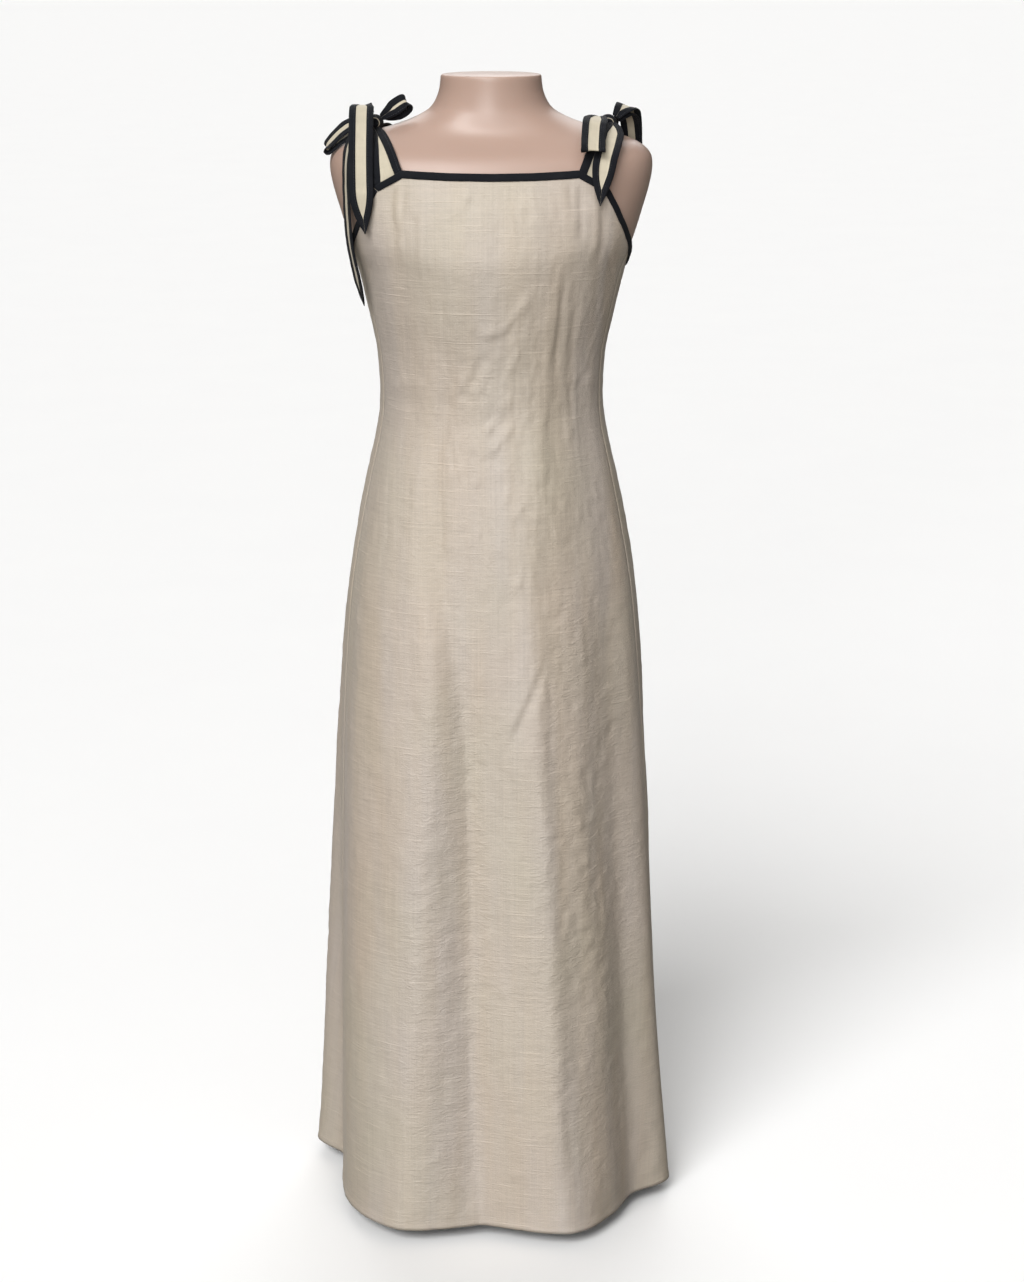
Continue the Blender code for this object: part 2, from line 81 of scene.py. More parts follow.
# A small ceiling lamp just in front of the shoulders brightens the chest more than the hem.
LAMP_PLACE = (0.20, -0.80, 2.02)
CHEST = (0.0, -0.1, 1.18)
lamp_data = bpy.data.lights.new("ceiling_lamp", "AREA")
lamp_data.energy = 3.2
lamp_data.size = 0.9
lamp = bpy.data.objects.new("ceiling_lamp", lamp_data)
lamp.location = LAMP_PLACE
lamp.rotation_euler = (Vector(CHEST) - Vector(LAMP_PLACE)).to_track_quat("-Z", "Y").to_euler()
scene.collection.objects.link(lamp)


def add(tree, kind, sockets=None, **settings):
    """A node with its settings, and each socket set to a value or joined to an output."""
    made = tree.nodes.new(kind)
    for name, value in settings.items():
        setattr(made, name, value)
    for name, value in (sockets or {}).items():
        if isinstance(value, bpy.types.NodeSocket):
            tree.links.new(value, made.inputs[name])
        else:
            made.inputs[name].default_value = value
    return made


# The room lights the dress dimly, and looks near white behind it.
ROOM_LIGHT = 0.11
room = bpy.data.worlds.new("white_room")
room.use_nodes = True
tree = room.node_tree
tree.nodes.clear()
seen = add(tree, "ShaderNodeBackground", {"Strength": 1.0, "Color": (0.94, 0.94, 0.94, 1.0)})
lit = add(tree, "ShaderNodeBackground", {"Strength": ROOM_LIGHT, "Color": (1.0, 0.96, 0.90, 1.0)})
straight = add(tree, "ShaderNodeLightPath").outputs["Is Camera Ray"]
mix = add(tree, "ShaderNodeMixShader", {0: straight, 1: lit.outputs[0], 2: seen.outputs[0]})
add(tree, "ShaderNodeOutputWorld", {"Surface": mix.outputs[0]})
scene.world = room


def new_material(name, **sockets):
    """A Principled material, with its tree and its shader."""
    made = bpy.data.materials.new(name)
    made.use_nodes = True
    shader = made.node_tree.nodes["Principled BSDF"]
    for socket, value in sockets.items():
        shader.inputs[socket.replace("_", " ")].default_value = value
    return made, made.node_tree, shader


def streaks(tree, place, across, up, detail=2.0, distortion=0.0):
    """Noise with so many cells a metre across and up the cloth, from 0 to 1."""
    scaled = add(tree, "ShaderNodeMapping", {"Vector": place, "Scale": (across, up, 1.0)})
    made = add(tree, "ShaderNodeTexNoise", {
        "Vector": scaled.outputs[0], "Scale": 1.0, "Detail": detail, "Roughness": 0.6,
        "Distortion": distortion})
    return made.outputs["Fac"]


def tinted(tree, colour, tint, share):
    """A colour with a share of a tint, where the share may come from a node."""
    made = add(tree, "ShaderNodeMix", {0: share, 6: colour, 7: tint}, data_type="RGBA")
    return made.outputs[2]


def place_mesh(name, mesh, *looks):
    """An object of a bmesh with its materials, smooth shaded."""
    data = bpy.data.meshes.new(name)
    mesh.to_mesh(data)
    mesh.free()
    made = bpy.data.objects.new(name, data)
    scene.collection.objects.link(made)
    for look in looks:
        data.materials.append(look)
    data.shade_smooth()
    return made


FLOOR_RADIUS = 90.0
floor_look, tree, shader = new_material("pale_floor", Roughness=0.9, Specular_IOR_Level=0.1)
grain = streaks(tree, add(tree, "ShaderNodeTexCoord").outputs["Object"], 3.0, 3.0)
pale = tinted(tree, (0.93, 0.93, 0.925, 1.0), (0.91, 0.91, 0.91, 1.0), grain)
# The floor sends back less light than it shows, so that it doesn't flatten the folds from below.
straight = add(tree, "ShaderNodeLightPath").outputs["Is Camera Ray"]
tree.links.new(tinted(tree, (0.20, 0.19, 0.17, 1.0), pale, straight), shader.inputs["Base Color"])
mesh = bmesh.new()
bmesh.ops.create_circle(mesh, cap_ends=True, segments=96, radius=FLOOR_RADIUS)
floor = place_mesh("floor", mesh, floor_look)


# Dress form. A smooth blow-moulded torso in satin flesh plastic, cut flat at the neck, with no head
# or limbs. It stands on a steel pole in a round steel base, both hidden by the skirt.

# height, half_width, front, back, squareness of the level section (2 is an ellipse)
FORM_SECTIONS = (
    (0.780, 0.1440, 0.0960, 0.1040, 2.20),
    (0.860, 0.1500, 0.1080, 0.1160, 2.20),
    (0.900, 0.1475, 0.1065, 0.1140, 2.20),
    (0.932, 0.1405, 0.1040, 0.1080, 2.20),
    (0.981, 0.1290, 0.0980, 0.0960, 2.15),
    (1.010, 0.1252, 0.0955, 0.0880, 2.15),
    (1.040, 0.1252, 0.0960, 0.0855, 2.15),
    (1.077, 0.1280, 0.1010, 0.0850, 2.15),
    (1.125, 0.1390, 0.1110, 0.0875, 2.15),
    (1.172, 0.1515, 0.1185, 0.0910, 2.15),
    (1.200, 0.1640, 0.1185, 0.0930, 2.20),
    (1.235, 0.1750, 0.1120, 0.0940, 2.20),
    (1.265, 0.1835, 0.1035, 0.0925, 2.20),
    (1.286, 0.1865, 0.0960, 0.0895, 2.20),
    (1.300, 0.1830, 0.0870, 0.0850, 2.20),
    (1.3115, 0.1690, 0.0745, 0.0780, 2.20),
    (1.321, 0.1440, 0.0650, 0.0730, 2.15),
    (1.330, 0.1130, 0.0600, 0.0700, 2.10),
    (1.340, 0.0860, 0.0575, 0.0680, 2.05),
    (1.350, 0.0700, 0.0555, 0.0655, 2.00),
    (1.367, 0.0605, 0.0545, 0.0620, 2.00),
    (1.387, 0.0575, 0.0545, 0.0600, 2.00),
)


def eased(start, end, leaving, arriving, t):
    """A smooth curve between two values, with its rise over the whole span at each of them."""
    return (
        start * (1 + 2 * t) * (1 - t) ** 2 + end * t * t * (3 - 2 * t)
        + leaving * t * (1 - t) ** 2 - arriving * t * t * (1 - t)
    )


def along(rows, column, place):
    """One column of a table at each place, on a smooth curve through the table's rows."""
    knots = np.array([row[0] for row in rows])
    values = np.array([row[column] for row in rows])
    slopes = np.empty_like(values)
    slopes[1:-1] = (values[2:] - values[:-2]) / (knots[2:] - knots[:-2])
    slopes[0] = (values[1] - values[0]) / (knots[1] - knots[0])
    slopes[-1] = (values[-1] - values[-2]) / (knots[-1] - knots[-2])
    index = np.clip(np.searchsorted(knots, place, side="right") - 1, 0, len(knots) - 2)
    span = knots[index + 1] - knots[index]
    t = np.clip((place - knots[index]) / span, 0.0, 1.0)
    return eased(values[index], values[index + 1], slopes[index] * span, slopes[index + 1] * span, t)


def section_radius(sections, angle, height):
    """Distance from the axis to the level sections, for arrays of angles and heights."""
    half_width, front, back, squareness = (along(sections, k, height) for k in (1, 2, 3, 4))
    turn = np.radians(angle)
    across = np.abs(np.sin(turn)) / half_width
    forward = np.abs(np.cos(turn)) / np.where(np.cos(turn) > 0, front, back)
    return (across**squareness + forward**squareness) ** (-1 / squareness)


def round_points(radius, angle, height):
    """Points at a distance from the axis, as an array with x, y and z last."""
    turn = np.radians(angle)
    return np.stack([radius * np.sin(turn), -radius * np.cos(turn), height + 0 * radius], axis=-1)


def grid_mesh(points, closed=False):
    """A bmesh of quads through rows of points. A closed one joins each row's ends."""
    mesh = bmesh.new()
    rows = [[mesh.verts.new(point) for point in row] for row in points]
    for low, high in zip(rows, rows[1:]):
        count = len(low) if closed else len(low) - 1
        for k in range(count):
            n = (k + 1) % len(low)
            mesh.faces.new((low[k], low[n], high[n], high[k]))
    return mesh, rows


def capped_mesh(points):
    """A closed bmesh through level rings of points, with a face across its two ends."""
    mesh, rows = grid_mesh(points, closed=True)
    mesh.faces.new(rows[0][::-1])
    mesh.faces.new(rows[-1])
    return mesh


FORM_COLUMNS = 112
FORM_ROWS = 150
NECK_ROUND = 0.0022
form_heights = np.linspace(FORM_SECTIONS[0][0], FORM_SECTIONS[-1][0] - NECK_ROUND, FORM_ROWS)
form_angles = np.arange(FORM_COLUMNS) * 360.0 / FORM_COLUMNS
angle, height = np.meshgrid(form_angles, form_heights)
points = round_points(section_radius(FORM_SECTIONS, angle, height), angle, height)
rim = []
neck_top = FORM_SECTIONS[-1][0]
neck_radius = section_radius(FORM_SECTIONS, form_angles, np.full(FORM_COLUMNS, neck_top))
for step in (30, 60, 90):
    turn = math.radians(step)
    inset = NECK_ROUND * (1 - math.cos(turn))
    rim.append(round_points(neck_radius - inset, form_angles, neck_top - NECK_ROUND * (1 - math.sin(turn))))
mesh = capped_mesh(np.concatenate([points, np.array(rim)]))


def remap(tree, value, low, high, new_low, new_high):
    """A node's value carried from one range to another."""
    made = add(tree, "ShaderNodeMapRange", {
        "Value": value, "From Min": low, "From Max": high, "To Min": new_low, "To Max": new_high})
    return made.outputs[0]


def raised(tree, shader, height, depth):
    """Bump on a shader from a height between 0 and 1, so many metres deep."""
    made = add(tree, "ShaderNodeBump", {"Height": height, "Distance": depth, "Strength": 1.0})
    tree.links.new(made.outputs[0], shader.inputs["Normal"])


form_look, tree, shader = new_material(
    "satin_flesh_plastic", Subsurface_Weight=0.06, Subsurface_Radius=(0.006, 0.003, 0.002),
    Coat_Weight=0.12, Coat_Roughness=0.35)
place = add(tree, "ShaderNodeTexCoord").outputs["Object"]
mottle = streaks(tree, place, 9.0, 9.0, detail=4.0)
flesh = tinted(tree, (0.415, 0.290, 0.236, 1.0), (0.385, 0.262, 0.208, 1.0), mottle)
tree.links.new(flesh, shader.inputs["Base Color"])
tree.links.new(remap(tree, mottle, 0.3, 0.7, 0.38, 0.47), shader.inputs["Roughness"])
raised(tree, shader, streaks(tree, place, 320.0, 320.0), 0.00003)

torso = place_mesh("smooth_torso", mesh, form_look)
torso.data.set_sharp_from_angle(angle=math.radians(45))
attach(torso, "root")
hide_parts("form_torso")

steel_look, tree, shader = new_material("brushed_steel", Metallic=1.0)
place = add(tree, "ShaderNodeTexCoord").outputs["Object"]
scratches = streaks(tree, place, 4.0, 300.0)
tree.links.new(remap(tree, scratches, 0.3, 0.7, 0.26, 0.42), shader.inputs["Roughness"])
tree.links.new(
    tinted(tree, (0.58, 0.58, 0.59, 1.0), (0.66, 0.66, 0.67, 1.0), scratches), shader.inputs["Base Color"]
)


def turned(name, profile, look, sides=72):
    """A solid turned round the axis from (radius, height) points, from the underside up."""
    turns = [2 * math.pi * k / sides for k in range(sides)]
    mesh = capped_mesh([[(radius * math.cos(turn), radius * math.sin(turn), height) for turn in turns]
                        for radius, height in profile])
    made = place_mesh(name, mesh, look)
    made.data.set_sharp_from_angle(angle=math.radians(40))
    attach(made, "root")
    return made


low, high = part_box("form_pole")
radius = (high.x - low.x) / 2
pole = turned("steel_pole", ((radius, low.z), (radius, 0.60), (radius * 0.78, 0.604),
                             (radius * 0.78, high.z)), steel_look, sides=36)
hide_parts("form_pole")
low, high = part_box("form_base")
radius = (high.x - low.x) / 2
base = turned("steel_base", ((radius - 0.001, low.z), (radius, low.z + 0.001), (radius, 0.0068),
                             (radius - 0.002, 0.0092), (radius - 0.006, high.z)), steel_look)
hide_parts("form_base")


# Front and back. Two A-line panels of crinkled slub cotton, seamed at the sides and darted at the
# bust, hang straight from the chest to the ankles. The cloth stands in a few long soft folds that
# grow towards the hem, with crumples from wear between them.

# height, half_width, front, back, squareness
DRESS_SECTIONS = (
    (0.000, 0.206, 0.199, 0.199, 2.60),
    (0.220, 0.200, 0.187, 0.187, 2.50),
    (0.360, 0.197, 0.176, 0.176, 2.45),
    (0.495, 0.193, 0.165, 0.166, 2.40),
    (0.627, 0.187, 0.154, 0.156, 2.35),
    (0.731, 0.1795, 0.144, 0.147, 2.30),
    (0.807, 0.1715, 0.134, 0.139, 2.25),
    (0.882, 0.158, 0.124, 0.129, 2.20),
    (0.932, 0.147, 0.116, 0.120, 2.20),
    (0.981, 0.136, 0.108, 0.106, 2.15),
    (1.010, 0.1322, 0.105, 0.097, 2.15),
    (1.040, 0.1322, 0.106, 0.093, 2.15),
    (1.077, 0.1350, 0.110, 0.092, 2.15),
    (1.125, 0.1450, 0.119, 0.094, 2.15),
    (1.172, 0.1570, 0.1255, 0.097, 2.15),
    (1.200, 0.1700, 0.1250, 0.099, 2.20),
    (1.235, 0.1805, 0.1185, 0.100, 2.20),
    (1.265, 0.1890, 0.1095, 0.0985, 2.20),
    (1.300, 0.1930, 0.0980, 0.0940, 2.20),
)

# The skirt's ridges and hollows, in order round the dress. Crispness 0 is a round fold and 1 a
# creased one. Each has rows of height, angle and how far it stands out in millimetres.
FOLDS = (
    (0.2, ((0.018, -153, -13), (0.40, -153, -6), (0.78, -153, 0))),
    (0.1, ((0.018, -127, 20), (0.40, -127, 9), (0.84, -128, 0))),
    (0.2, ((0.018, -112, -4), (0.40, -112, -1), (0.78, -112, 0))),
    (0.3, ((0.018, -98, 30), (0.40, -97, 12), (0.80, -97, 0))),
    (0.3, ((0.018, -85, -14), (0.40, -85, -7), (0.78, -85, 0))),
    (0.0, ((0.018, -72, -9), (0.40, -73, -5), (0.78, -74, 0), (1.20, -74, 0))),
    (0.0, ((0.018, -49, 11), (0.30, -52, 13), (0.60, -56, 9), (0.86, -60, 2.5), (1.03, -59, 1.5),
           (1.17, -49, 0))),
    (0.6, ((0.018, -30, 24), (0.30, -27, 20), (0.45, -26, 18), (0.60, -24, 14), (0.75, -28, 8),
           (0.88, -41, 2), (1.05, -40, 0.5), (1.17, -36, 0))),
    (0.8, ((0.018, -4, -6.5), (0.13, -7, -8), (0.30, -9, -9), (0.54, -10, -8), (0.68, -14, -5),
           (0.80, -23, -3), (0.90, -30, -2.5), (0.99, -31, -2), (1.10, -16, 0))),
    (0.9, ((0.018, 24, 28), (0.13, 22, 23), (0.30, 22, 18), (0.60, 20, 11), (0.80, 19, 6.5),
           (0.85, 21, 6), (0.94, 27, 5), (1.04, 33, 3.5), (1.17, 36, 1), (1.22, 36, 0))),
    (0.3, ((0.018, 32, 21), (0.13, 30, 14), (0.30, 29, 9), (0.60, 27, 5), (0.85, 31, 2), (1.04, 39, 0),
           (1.20, 42, 0))),
    (0.4, ((0.018, 39, 9), (0.13, 38, 7), (0.30, 37.5, 4), (0.55, 34.5, 2.5), (0.66, 35, 1.5),
           (0.85, 42, -0.5), (1.20, 50, 0))),
    (0.2, ((0.018, 56, -9), (0.30, 56, -14), (0.60, 56, -13), (0.84, 57, -5), (1.03, 58, -1),
           (1.20, 58, 0))),
    (0.2, ((0.018, 71, 25), (0.30, 69, 9), (0.60, 70, 0), (0.80, 70, -1), (1.00, 70, 0))),
    (0.2, ((0.018, 98, -14), (0.40, 98, -5), (0.74, 98, 0))),
    (0.2, ((0.018, 124, 22), (0.40, 124, 10), (0.86, 124, 0))),
    (0.4, ((0.018, 152, -12), (0.40, 152, -6), (0.80, 152, 0))),
    (0.2, ((0.018, 178, 18), (0.40, 178, 8), (0.88, 178, 0))),
)

HEM = 0.018
YOKE = 1.100  # above this the rows fan out to the shaped top edge
SIDE_SEAM = 75.0
SEAM_TURN = 0.03
NECK_CORNER = 47.5
STRAP_CORNER = 57.7
BACK_STRAP_CORNER = 122.5
BACK_NECK_CORNER = 133.0
CLOTH = 0.0011
SKIRT_ROWS = 262
YOKE_ROWS = 46
HEM_TURN = 0.009
HEM_PUFF = 0.0005
HEM_GROOVE = 0.0006
HEM_ROW = 2  # the row of points that the hem's stitches follow

# angle, height of the top edge from the centre front to the centre back; both sides alike
TOP_EDGE = (
    (0.0, 1.2828),
    (25.0, 1.2834),
    (40.0, 1.2846),
    (NECK_CORNER, 1.2855),
    (STRAP_CORNER, 1.2675),
    (60.0, 1.2530),
    (63.8, 1.2330),
    (68.7, 1.2140),
    (75.0, 1.1960),
    (82.0, 1.1810),
    (92.0, 1.1740),
    (102.0, 1.1830),
    (110.0, 1.2000),
    (117.0, 1.2240),
    (BACK_STRAP_CORNER, 1.2500),
    (BACK_NECK_CORNER, 1.2660),
    (180.0, 1.2620),
)


def top_edge(angle):
    """Height of the dress's top edge."""
    place = np.abs((np.asarray(angle) + 180.0) % 360.0 - 180.0)
    return np.interp(place, [row[0] for row in TOP_EDGE], [row[1] for row in TOP_EDGE])


def fold_swell(angle, height):
    """How far the folds carry the cloth outwards, in metres, for arrays of angles and heights.

    Between two fold lines the swell eases from one to the other. A round fold's slope on its line is
    the harmonic mean of the slopes beside it, and a creased one keeps the slopes as they are."""
    angle = (angle + 180.0) % 360.0 - 180.0
    crisp = np.array([fold[0] for fold in FOLDS])
    place = np.array([along(fold[1], 1, height) for fold in FOLDS])
    swell = np.array([along(fold[1], 2, height) for fold in FOLDS])
    crisp = np.concatenate([crisp[-2:], crisp, crisp[:2]])
    place = np.concatenate([place[-2:] - 360.0, place, place[:2] + 360.0])
    swell = np.concatenate([swell[-2:], swell, swell[:2]])
    chord = np.diff(swell, axis=0) / np.diff(place, axis=0)
    before, after = chord[:-1], chord[1:]
    same = before * after > 0
    mean = np.where(same, 2 * before * after / np.where(same, before + after, 1.0), 0.0)
    share = crisp[1:-1].reshape(-1, *[1] * height.ndim)
    leaving = mean + (after - mean) * share
    arriving = mean + (before - mean) * share
    total = np.zeros_like(height)
    for k in range(len(mean) - 1):
        start, end = place[k + 1], place[k + 2]
        inside = (angle >= start) & (angle < end)
        span = end - start
        t = np.clip((angle - start) / span, 0.0, 1.0)
        value = eased(swell[k + 1], swell[k + 2], leaving[k] * span, arriving[k + 1] * span, t)
        total = np.where(inside, value, total)
    return total / 1000.0


def girth(height):
    """A mean radius of the dress, which turns angles into distances along the cloth."""
    return 0.5 * (along(DRESS_SECTIONS, 1, height) + along(DRESS_SECTIONS, 2, height))


def distances(line):
    """How far along a line each of its points is."""
    steps = np.linalg.norm(np.diff(line, axis=0), axis=-1)
    return np.concatenate([[0.0], np.cumsum(steps)])


def smooth_route(points, per_span):
    """Points on a Catmull-Rom curve through a route."""
    route = np.asarray(points, float)
    route = np.concatenate([2 * route[:1] - route[1:2], route, 2 * route[-1:] - route[-2:-1]])
    t = np.arange(per_span).reshape(-1, 1) / per_span
    line = [
        0.5 * (2 * b + (c - a) * t + (2 * a - 5 * b + 4 * c - d) * t**2 + (3 * b - a - 3 * c + d) * t**3)
        for a, b, c, d in zip(route, route[1:], route[2:], route[3:])
    ]
    return np.concatenate(line + [route[-2:-1]])


CREASE_END = 0.28  # share of a crease's length over which each end fades


def press(swell, angle, height, depth, above, below, points):
    """Adds one crease to the swell: a soft ridge, or a hollow where the depth is negative.

    It runs through points of angle and height, fades out at both ends, and its two sides have
    widths of their own. Depth and widths are in millimetres."""
    across = np.radians(angle) * girth(height)
    line = smooth_route(points, 5)
    route = np.stack([np.radians(line[:, 0]) * girth(line[:, 1]), line[:, 1]], axis=-1)
    reach = 3.2 * max(above, below) / 1000.0
    near = (
        (across > route[:, 0].min() - reach) & (across < route[:, 0].max() + reach)
        & (height > route[:, 1].min() - reach) & (height < route[:, 1].max() + reach)
    )
    if not near.any():
        return
    spots = np.stack([across[near], height[near]], axis=-1)
    best = np.full(len(spots), 1e9)
    side = np.zeros(len(spots))
    share = np.zeros(len(spots))
    runs = distances(route)
    for k, (start, end) in enumerate(zip(route, route[1:])):
        way = end - start
        t = np.clip(((spots - start) @ way) / (way @ way), 0.0, 1.0)
        gap = spots - (start + t[:, None] * way)
        distance = np.hypot(gap[:, 0], gap[:, 1])
        closer = distance < best
        best = np.where(closer, distance, best)
        turn = way[0] * gap[:, 1] - way[1] * gap[:, 0]
        side = np.where(closer, np.sign(turn), side)
        share = np.where(closer, (runs[k] + t * (runs[k + 1] - runs[k])) / runs[-1], share)
    width = np.where(side > 0, above, below) / 1000.0
    fade = np.clip(np.minimum(share, 1 - share) / CREASE_END, 0.0, 1.0)
    fade = fade * fade * (3 - 2 * fade)
    swell[near] += depth / 1000.0 * fade * np.exp(-((best / width) ** 2))


# depth, width above (or left of) the line, width below (or right of) it, in millimetres, and
# the points of angle and height that the crease runs through
FRONT_CREASES = (
    (2.1, 9, 3.5, ((23, 1.156), (15, 1.136), (8, 1.113), (1, 1.107), (-11, 1.105))),
    (-1.5, 4, 6, ((18, 1.136), (9, 1.106), (0, 1.098), (-8, 1.096))),
    (-1.5, 5, 6, ((3, 1.094), (-8, 1.061), (-15, 1.032))),
    (1.4, 4, 4, ((10, 1.098), (15, 1.085), (9, 1.057))),
    (-1.2, 4, 4, ((4, 1.046), (12, 1.037), (20, 1.033))),
    (1.2, 5, 5, ((-10, 1.066), (-18, 1.046), (-27, 1.028))),
    (-0.9, 4, 5, ((-2, 1.078), (5, 1.060), (3, 1.034))),
    (0.9, 4, 5, ((-20, 1.080), (-8, 1.086), (4, 1.080))),
    (-2.0, 11, 13, ((-12, 1.105), (-24, 1.045), (-31, 0.992), (-33, 0.946), (-29, 0.890), (-24, 0.79))),
    (-2.2, 4, 5, ((37, 1.186), (38, 1.120), (37, 1.048))),
    (-1.3, 6, 6, ((43, 1.170), (46, 1.107), (50, 0.985))),
    (1.0, 7, 7, ((41, 1.160), (42, 1.105), (45, 1.020))),
    (-2.6, 3.5, 6, ((24, 0.730), (17, 0.682), (11, 0.640), (5, 0.612))),
    (1.2, 6, 5, ((19, 0.712), (13, 0.676), (6, 0.640))),
    (-1.4, 4, 4, ((6, 0.604), (9, 0.566), (10, 0.515))),
    (-1.3, 3, 3, ((22, 0.730), (25, 0.687), (25, 0.651), (23, 0.590))),
    (-1.5, 3, 3, ((37, 0.681), (32, 0.660))),
    (-1.3, 4, 4, ((17, 0.172), (22, 0.192), (28, 0.216))),
    (-1.3, 4, 4, ((24, 0.200), (25, 0.150), (26, 0.100))),
    (-1.2, 3, 4, ((-10, 0.268), (-8, 0.188))),
    (-2.4, 4, 6, ((-72, 0.420), (-70, 0.330), (-65, 0.250), (-60, 0.190))),
    (-1.1, 4, 5, ((-37, 1.274), (-20, 1.256), (0, 1.247))),
    (-0.9, 3, 4, ((-28, 1.277), (-12, 1.264), (-2, 1.259))),
    (-0.8, 3, 4, ((3, 1.274), (12, 1.268), (22, 1.272))),
    (0.7, 5, 5, ((-32, 1.264), (-18, 1.246), (-4, 1.240))),
    (-2.4, 4, 4, ((-51, 1.284), (-49, 1.238), (-44, 1.200))),
    (-1.6, 3, 3, ((-46, 1.286), (-44, 1.225))),
    (1.5, 4, 4, ((-48, 1.266), (-46.5, 1.225), (-42, 1.190))),
    (-1.6, 3, 3, ((42.5, 1.286), (41, 1.230))),
    (-2.1, 3, 3, ((46.5, 1.284), (45, 1.232), (44, 1.200))),
    (2.0, 5, 4, ((51, 1.268), (51, 1.221), (49, 1.185))),
    (-1.8, 4, 4, ((55, 1.258), (55, 1.215), (53, 1.175))),
    (-1.2, 5, 6, ((-21, 1.172), (-25, 1.145), (-29, 1.112))),
    (0.9, 12, 14, ((-58, 1.212), (-45, 1.195), (-20, 1.187), (5, 1.186), (30, 1.189), (44, 1.200),
                   (54, 1.216))),
    (-1.5, 2.5, 3.5, ((-74.5, 1.146), (-65, 1.172), (-55, 1.201))),
    (-1.5, 2.5, 3.5, ((74.5, 1.146), (64, 1.176), (52, 1.208))),
    (1.1, 5, 5, ((-66, 1.030), (-52, 1.044), (-38, 1.040))),
    (-1.0, 5, 5, ((-70, 1.012), (-56, 1.022), (-42, 1.016))),
    (1.1, 5, 5, ((70, 1.034), (58, 1.048), (44, 1.040))),
    (-1.2, 4, 5, ((74, 1.062), (60, 1.052), (50, 1.028))),
    (-1.0, 5, 6, ((-28, 1.008), (-12, 1.000), (6, 1.006), (20, 0.998))),
    (0.9, 5, 6, ((-20, 0.968), (-4, 0.975), (14, 0.966))),
    (-0.9, 5, 6, ((-4, 0.930), (8, 0.936), (24, 0.922))),
    (-1.0, 3, 4, ((39, 0.60), (41, 0.55), (38.5, 0.50))),
    (0.8, 4, 4, ((43, 0.485), (46, 0.43), (45, 0.36))),
    (-0.9, 3, 4, ((30, 0.42), (33, 0.38), (31.5, 0.33))),
    (-1.4, 5, 4, ((-21, 0.50), (-17, 0.455), (-19, 0.41))),
    (1.2, 5, 5, ((-15, 0.40), (-18, 0.36), (-14, 0.31))),
    (-1.2, 5, 5, ((-22, 0.235), (-17, 0.20), (-19, 0.15))),
    (-1.3, 5, 5, ((-12, 0.090), (-9, 0.060), (-11, 0.028))),
    (1.1, 5, 5, ((-16, 0.080), (-14, 0.050), (-16, 0.024))),
    (-1.6, 5, 6, ((59, 0.125), (64, 0.090), (62, 0.045))),
)
BACK_CREASES = (
    (2.0, 8, 4, ((150, 1.110), (163, 1.092), (178, 1.088), (192, 1.098))),
    (-1.6, 5, 6, ((152, 1.100), (166, 1.080), (182, 1.077), (196, 1.086))),
    (-1.5, 5, 5, ((205, 1.070), (192, 1.048), (180, 1.040), (168, 1.044))),
    (1.3, 6, 5, ((160, 1.026), (174, 1.018), (190, 1.024), (204, 1.016))),
    (-1.2, 5, 6, ((214, 1.030), (200, 1.006), (186, 1.000))),
    (-1.4, 5, 6, ((120, 1.060), (132, 1.040), (146, 1.036))),
    (1.2, 5, 5, ((240, 1.050), (228, 1.034), (214, 1.030))),
    (-1.9, 11, 12, ((150, 1.020), (147, 0.960), (150, 0.880), (152, 0.800))),
    (-1.9, 12, 11, ((212, 1.020), (216, 0.950), (210, 0.870), (207, 0.790))),
    (-1.3, 5, 5, ((163, 0.960), (176, 0.948), (192, 0.955))),
    (-2.0, 4, 6, ((196, 0.760), (188, 0.715), (181, 0.670), (179, 0.620))),
    (1.2, 5, 5, ((190, 0.750), (183, 0.706), (176, 0.660))),
    (-1.5, 4, 5, ((128, 0.660), (133, 0.610), (131, 0.555))),
    (-1.4, 5, 4, ((228, 0.560), (223, 0.510), (226, 0.450))),
    (1.4, 5, 5, ((160, 0.470), (165, 0.420), (162, 0.350))),
    (-1.3, 4, 5, ((172, 0.330), (168, 0.280), (171, 0.220))),
    (-1.4, 5, 5, ((108, 0.420), (112, 0.360), (109, 0.300))),
    (-1.4, 5, 5, ((247, 0.330), (243, 0.270), (246, 0.210))),
    (-1.3, 5, 5, ((200, 0.180), (204, 0.130), (201, 0.070))),
    (-1.2, 5, 5, ((140, 0.150), (144, 0.100), (141, 0.050))),
    (-1.1, 3, 3, ((134, 1.262), (137, 1.225))),
    (-1.1, 3, 3, ((225, 1.262), (222, 1.222))),
    (-0.9, 4, 4, ((150, 1.262), (162, 1.250), (176, 1.247))),
    (-0.9, 4, 4, ((207, 1.260), (195, 1.249), (184, 1.250))),
)

# Fine crumples: angle, height, spread of each, and how many; most lie in the folds' shaded flanks
FRONT_CRUMPLES = (
    (-16, 0.38, 7, 0.34, 190),
    (35, 0.42, 9, 0.36, 260),
    (2, 1.02, 20, 0.09, 56),
    (56, 0.50, 12, 0.36, 80),
    (-58, 0.70, 12, 0.34, 30),
    (4, 0.30, 11, 0.24, 22),
    (-42, 0.50, 10, 0.34, 20),
    (0, 1.24, 34, 0.03, 14),
    (10, 0.86, 22, 0.08, 34),
)
BACK_CRUMPLES = (
    (180, 1.02, 34, 0.08, 60),
    (150, 0.55, 14, 0.30, 60),
    (212, 0.50, 14, 0.30, 60),
    (110, 0.60, 16, 0.34, 40),
    (250, 0.60, 16, 0.34, 40),
    (180, 0.30, 16, 0.22, 30),
)


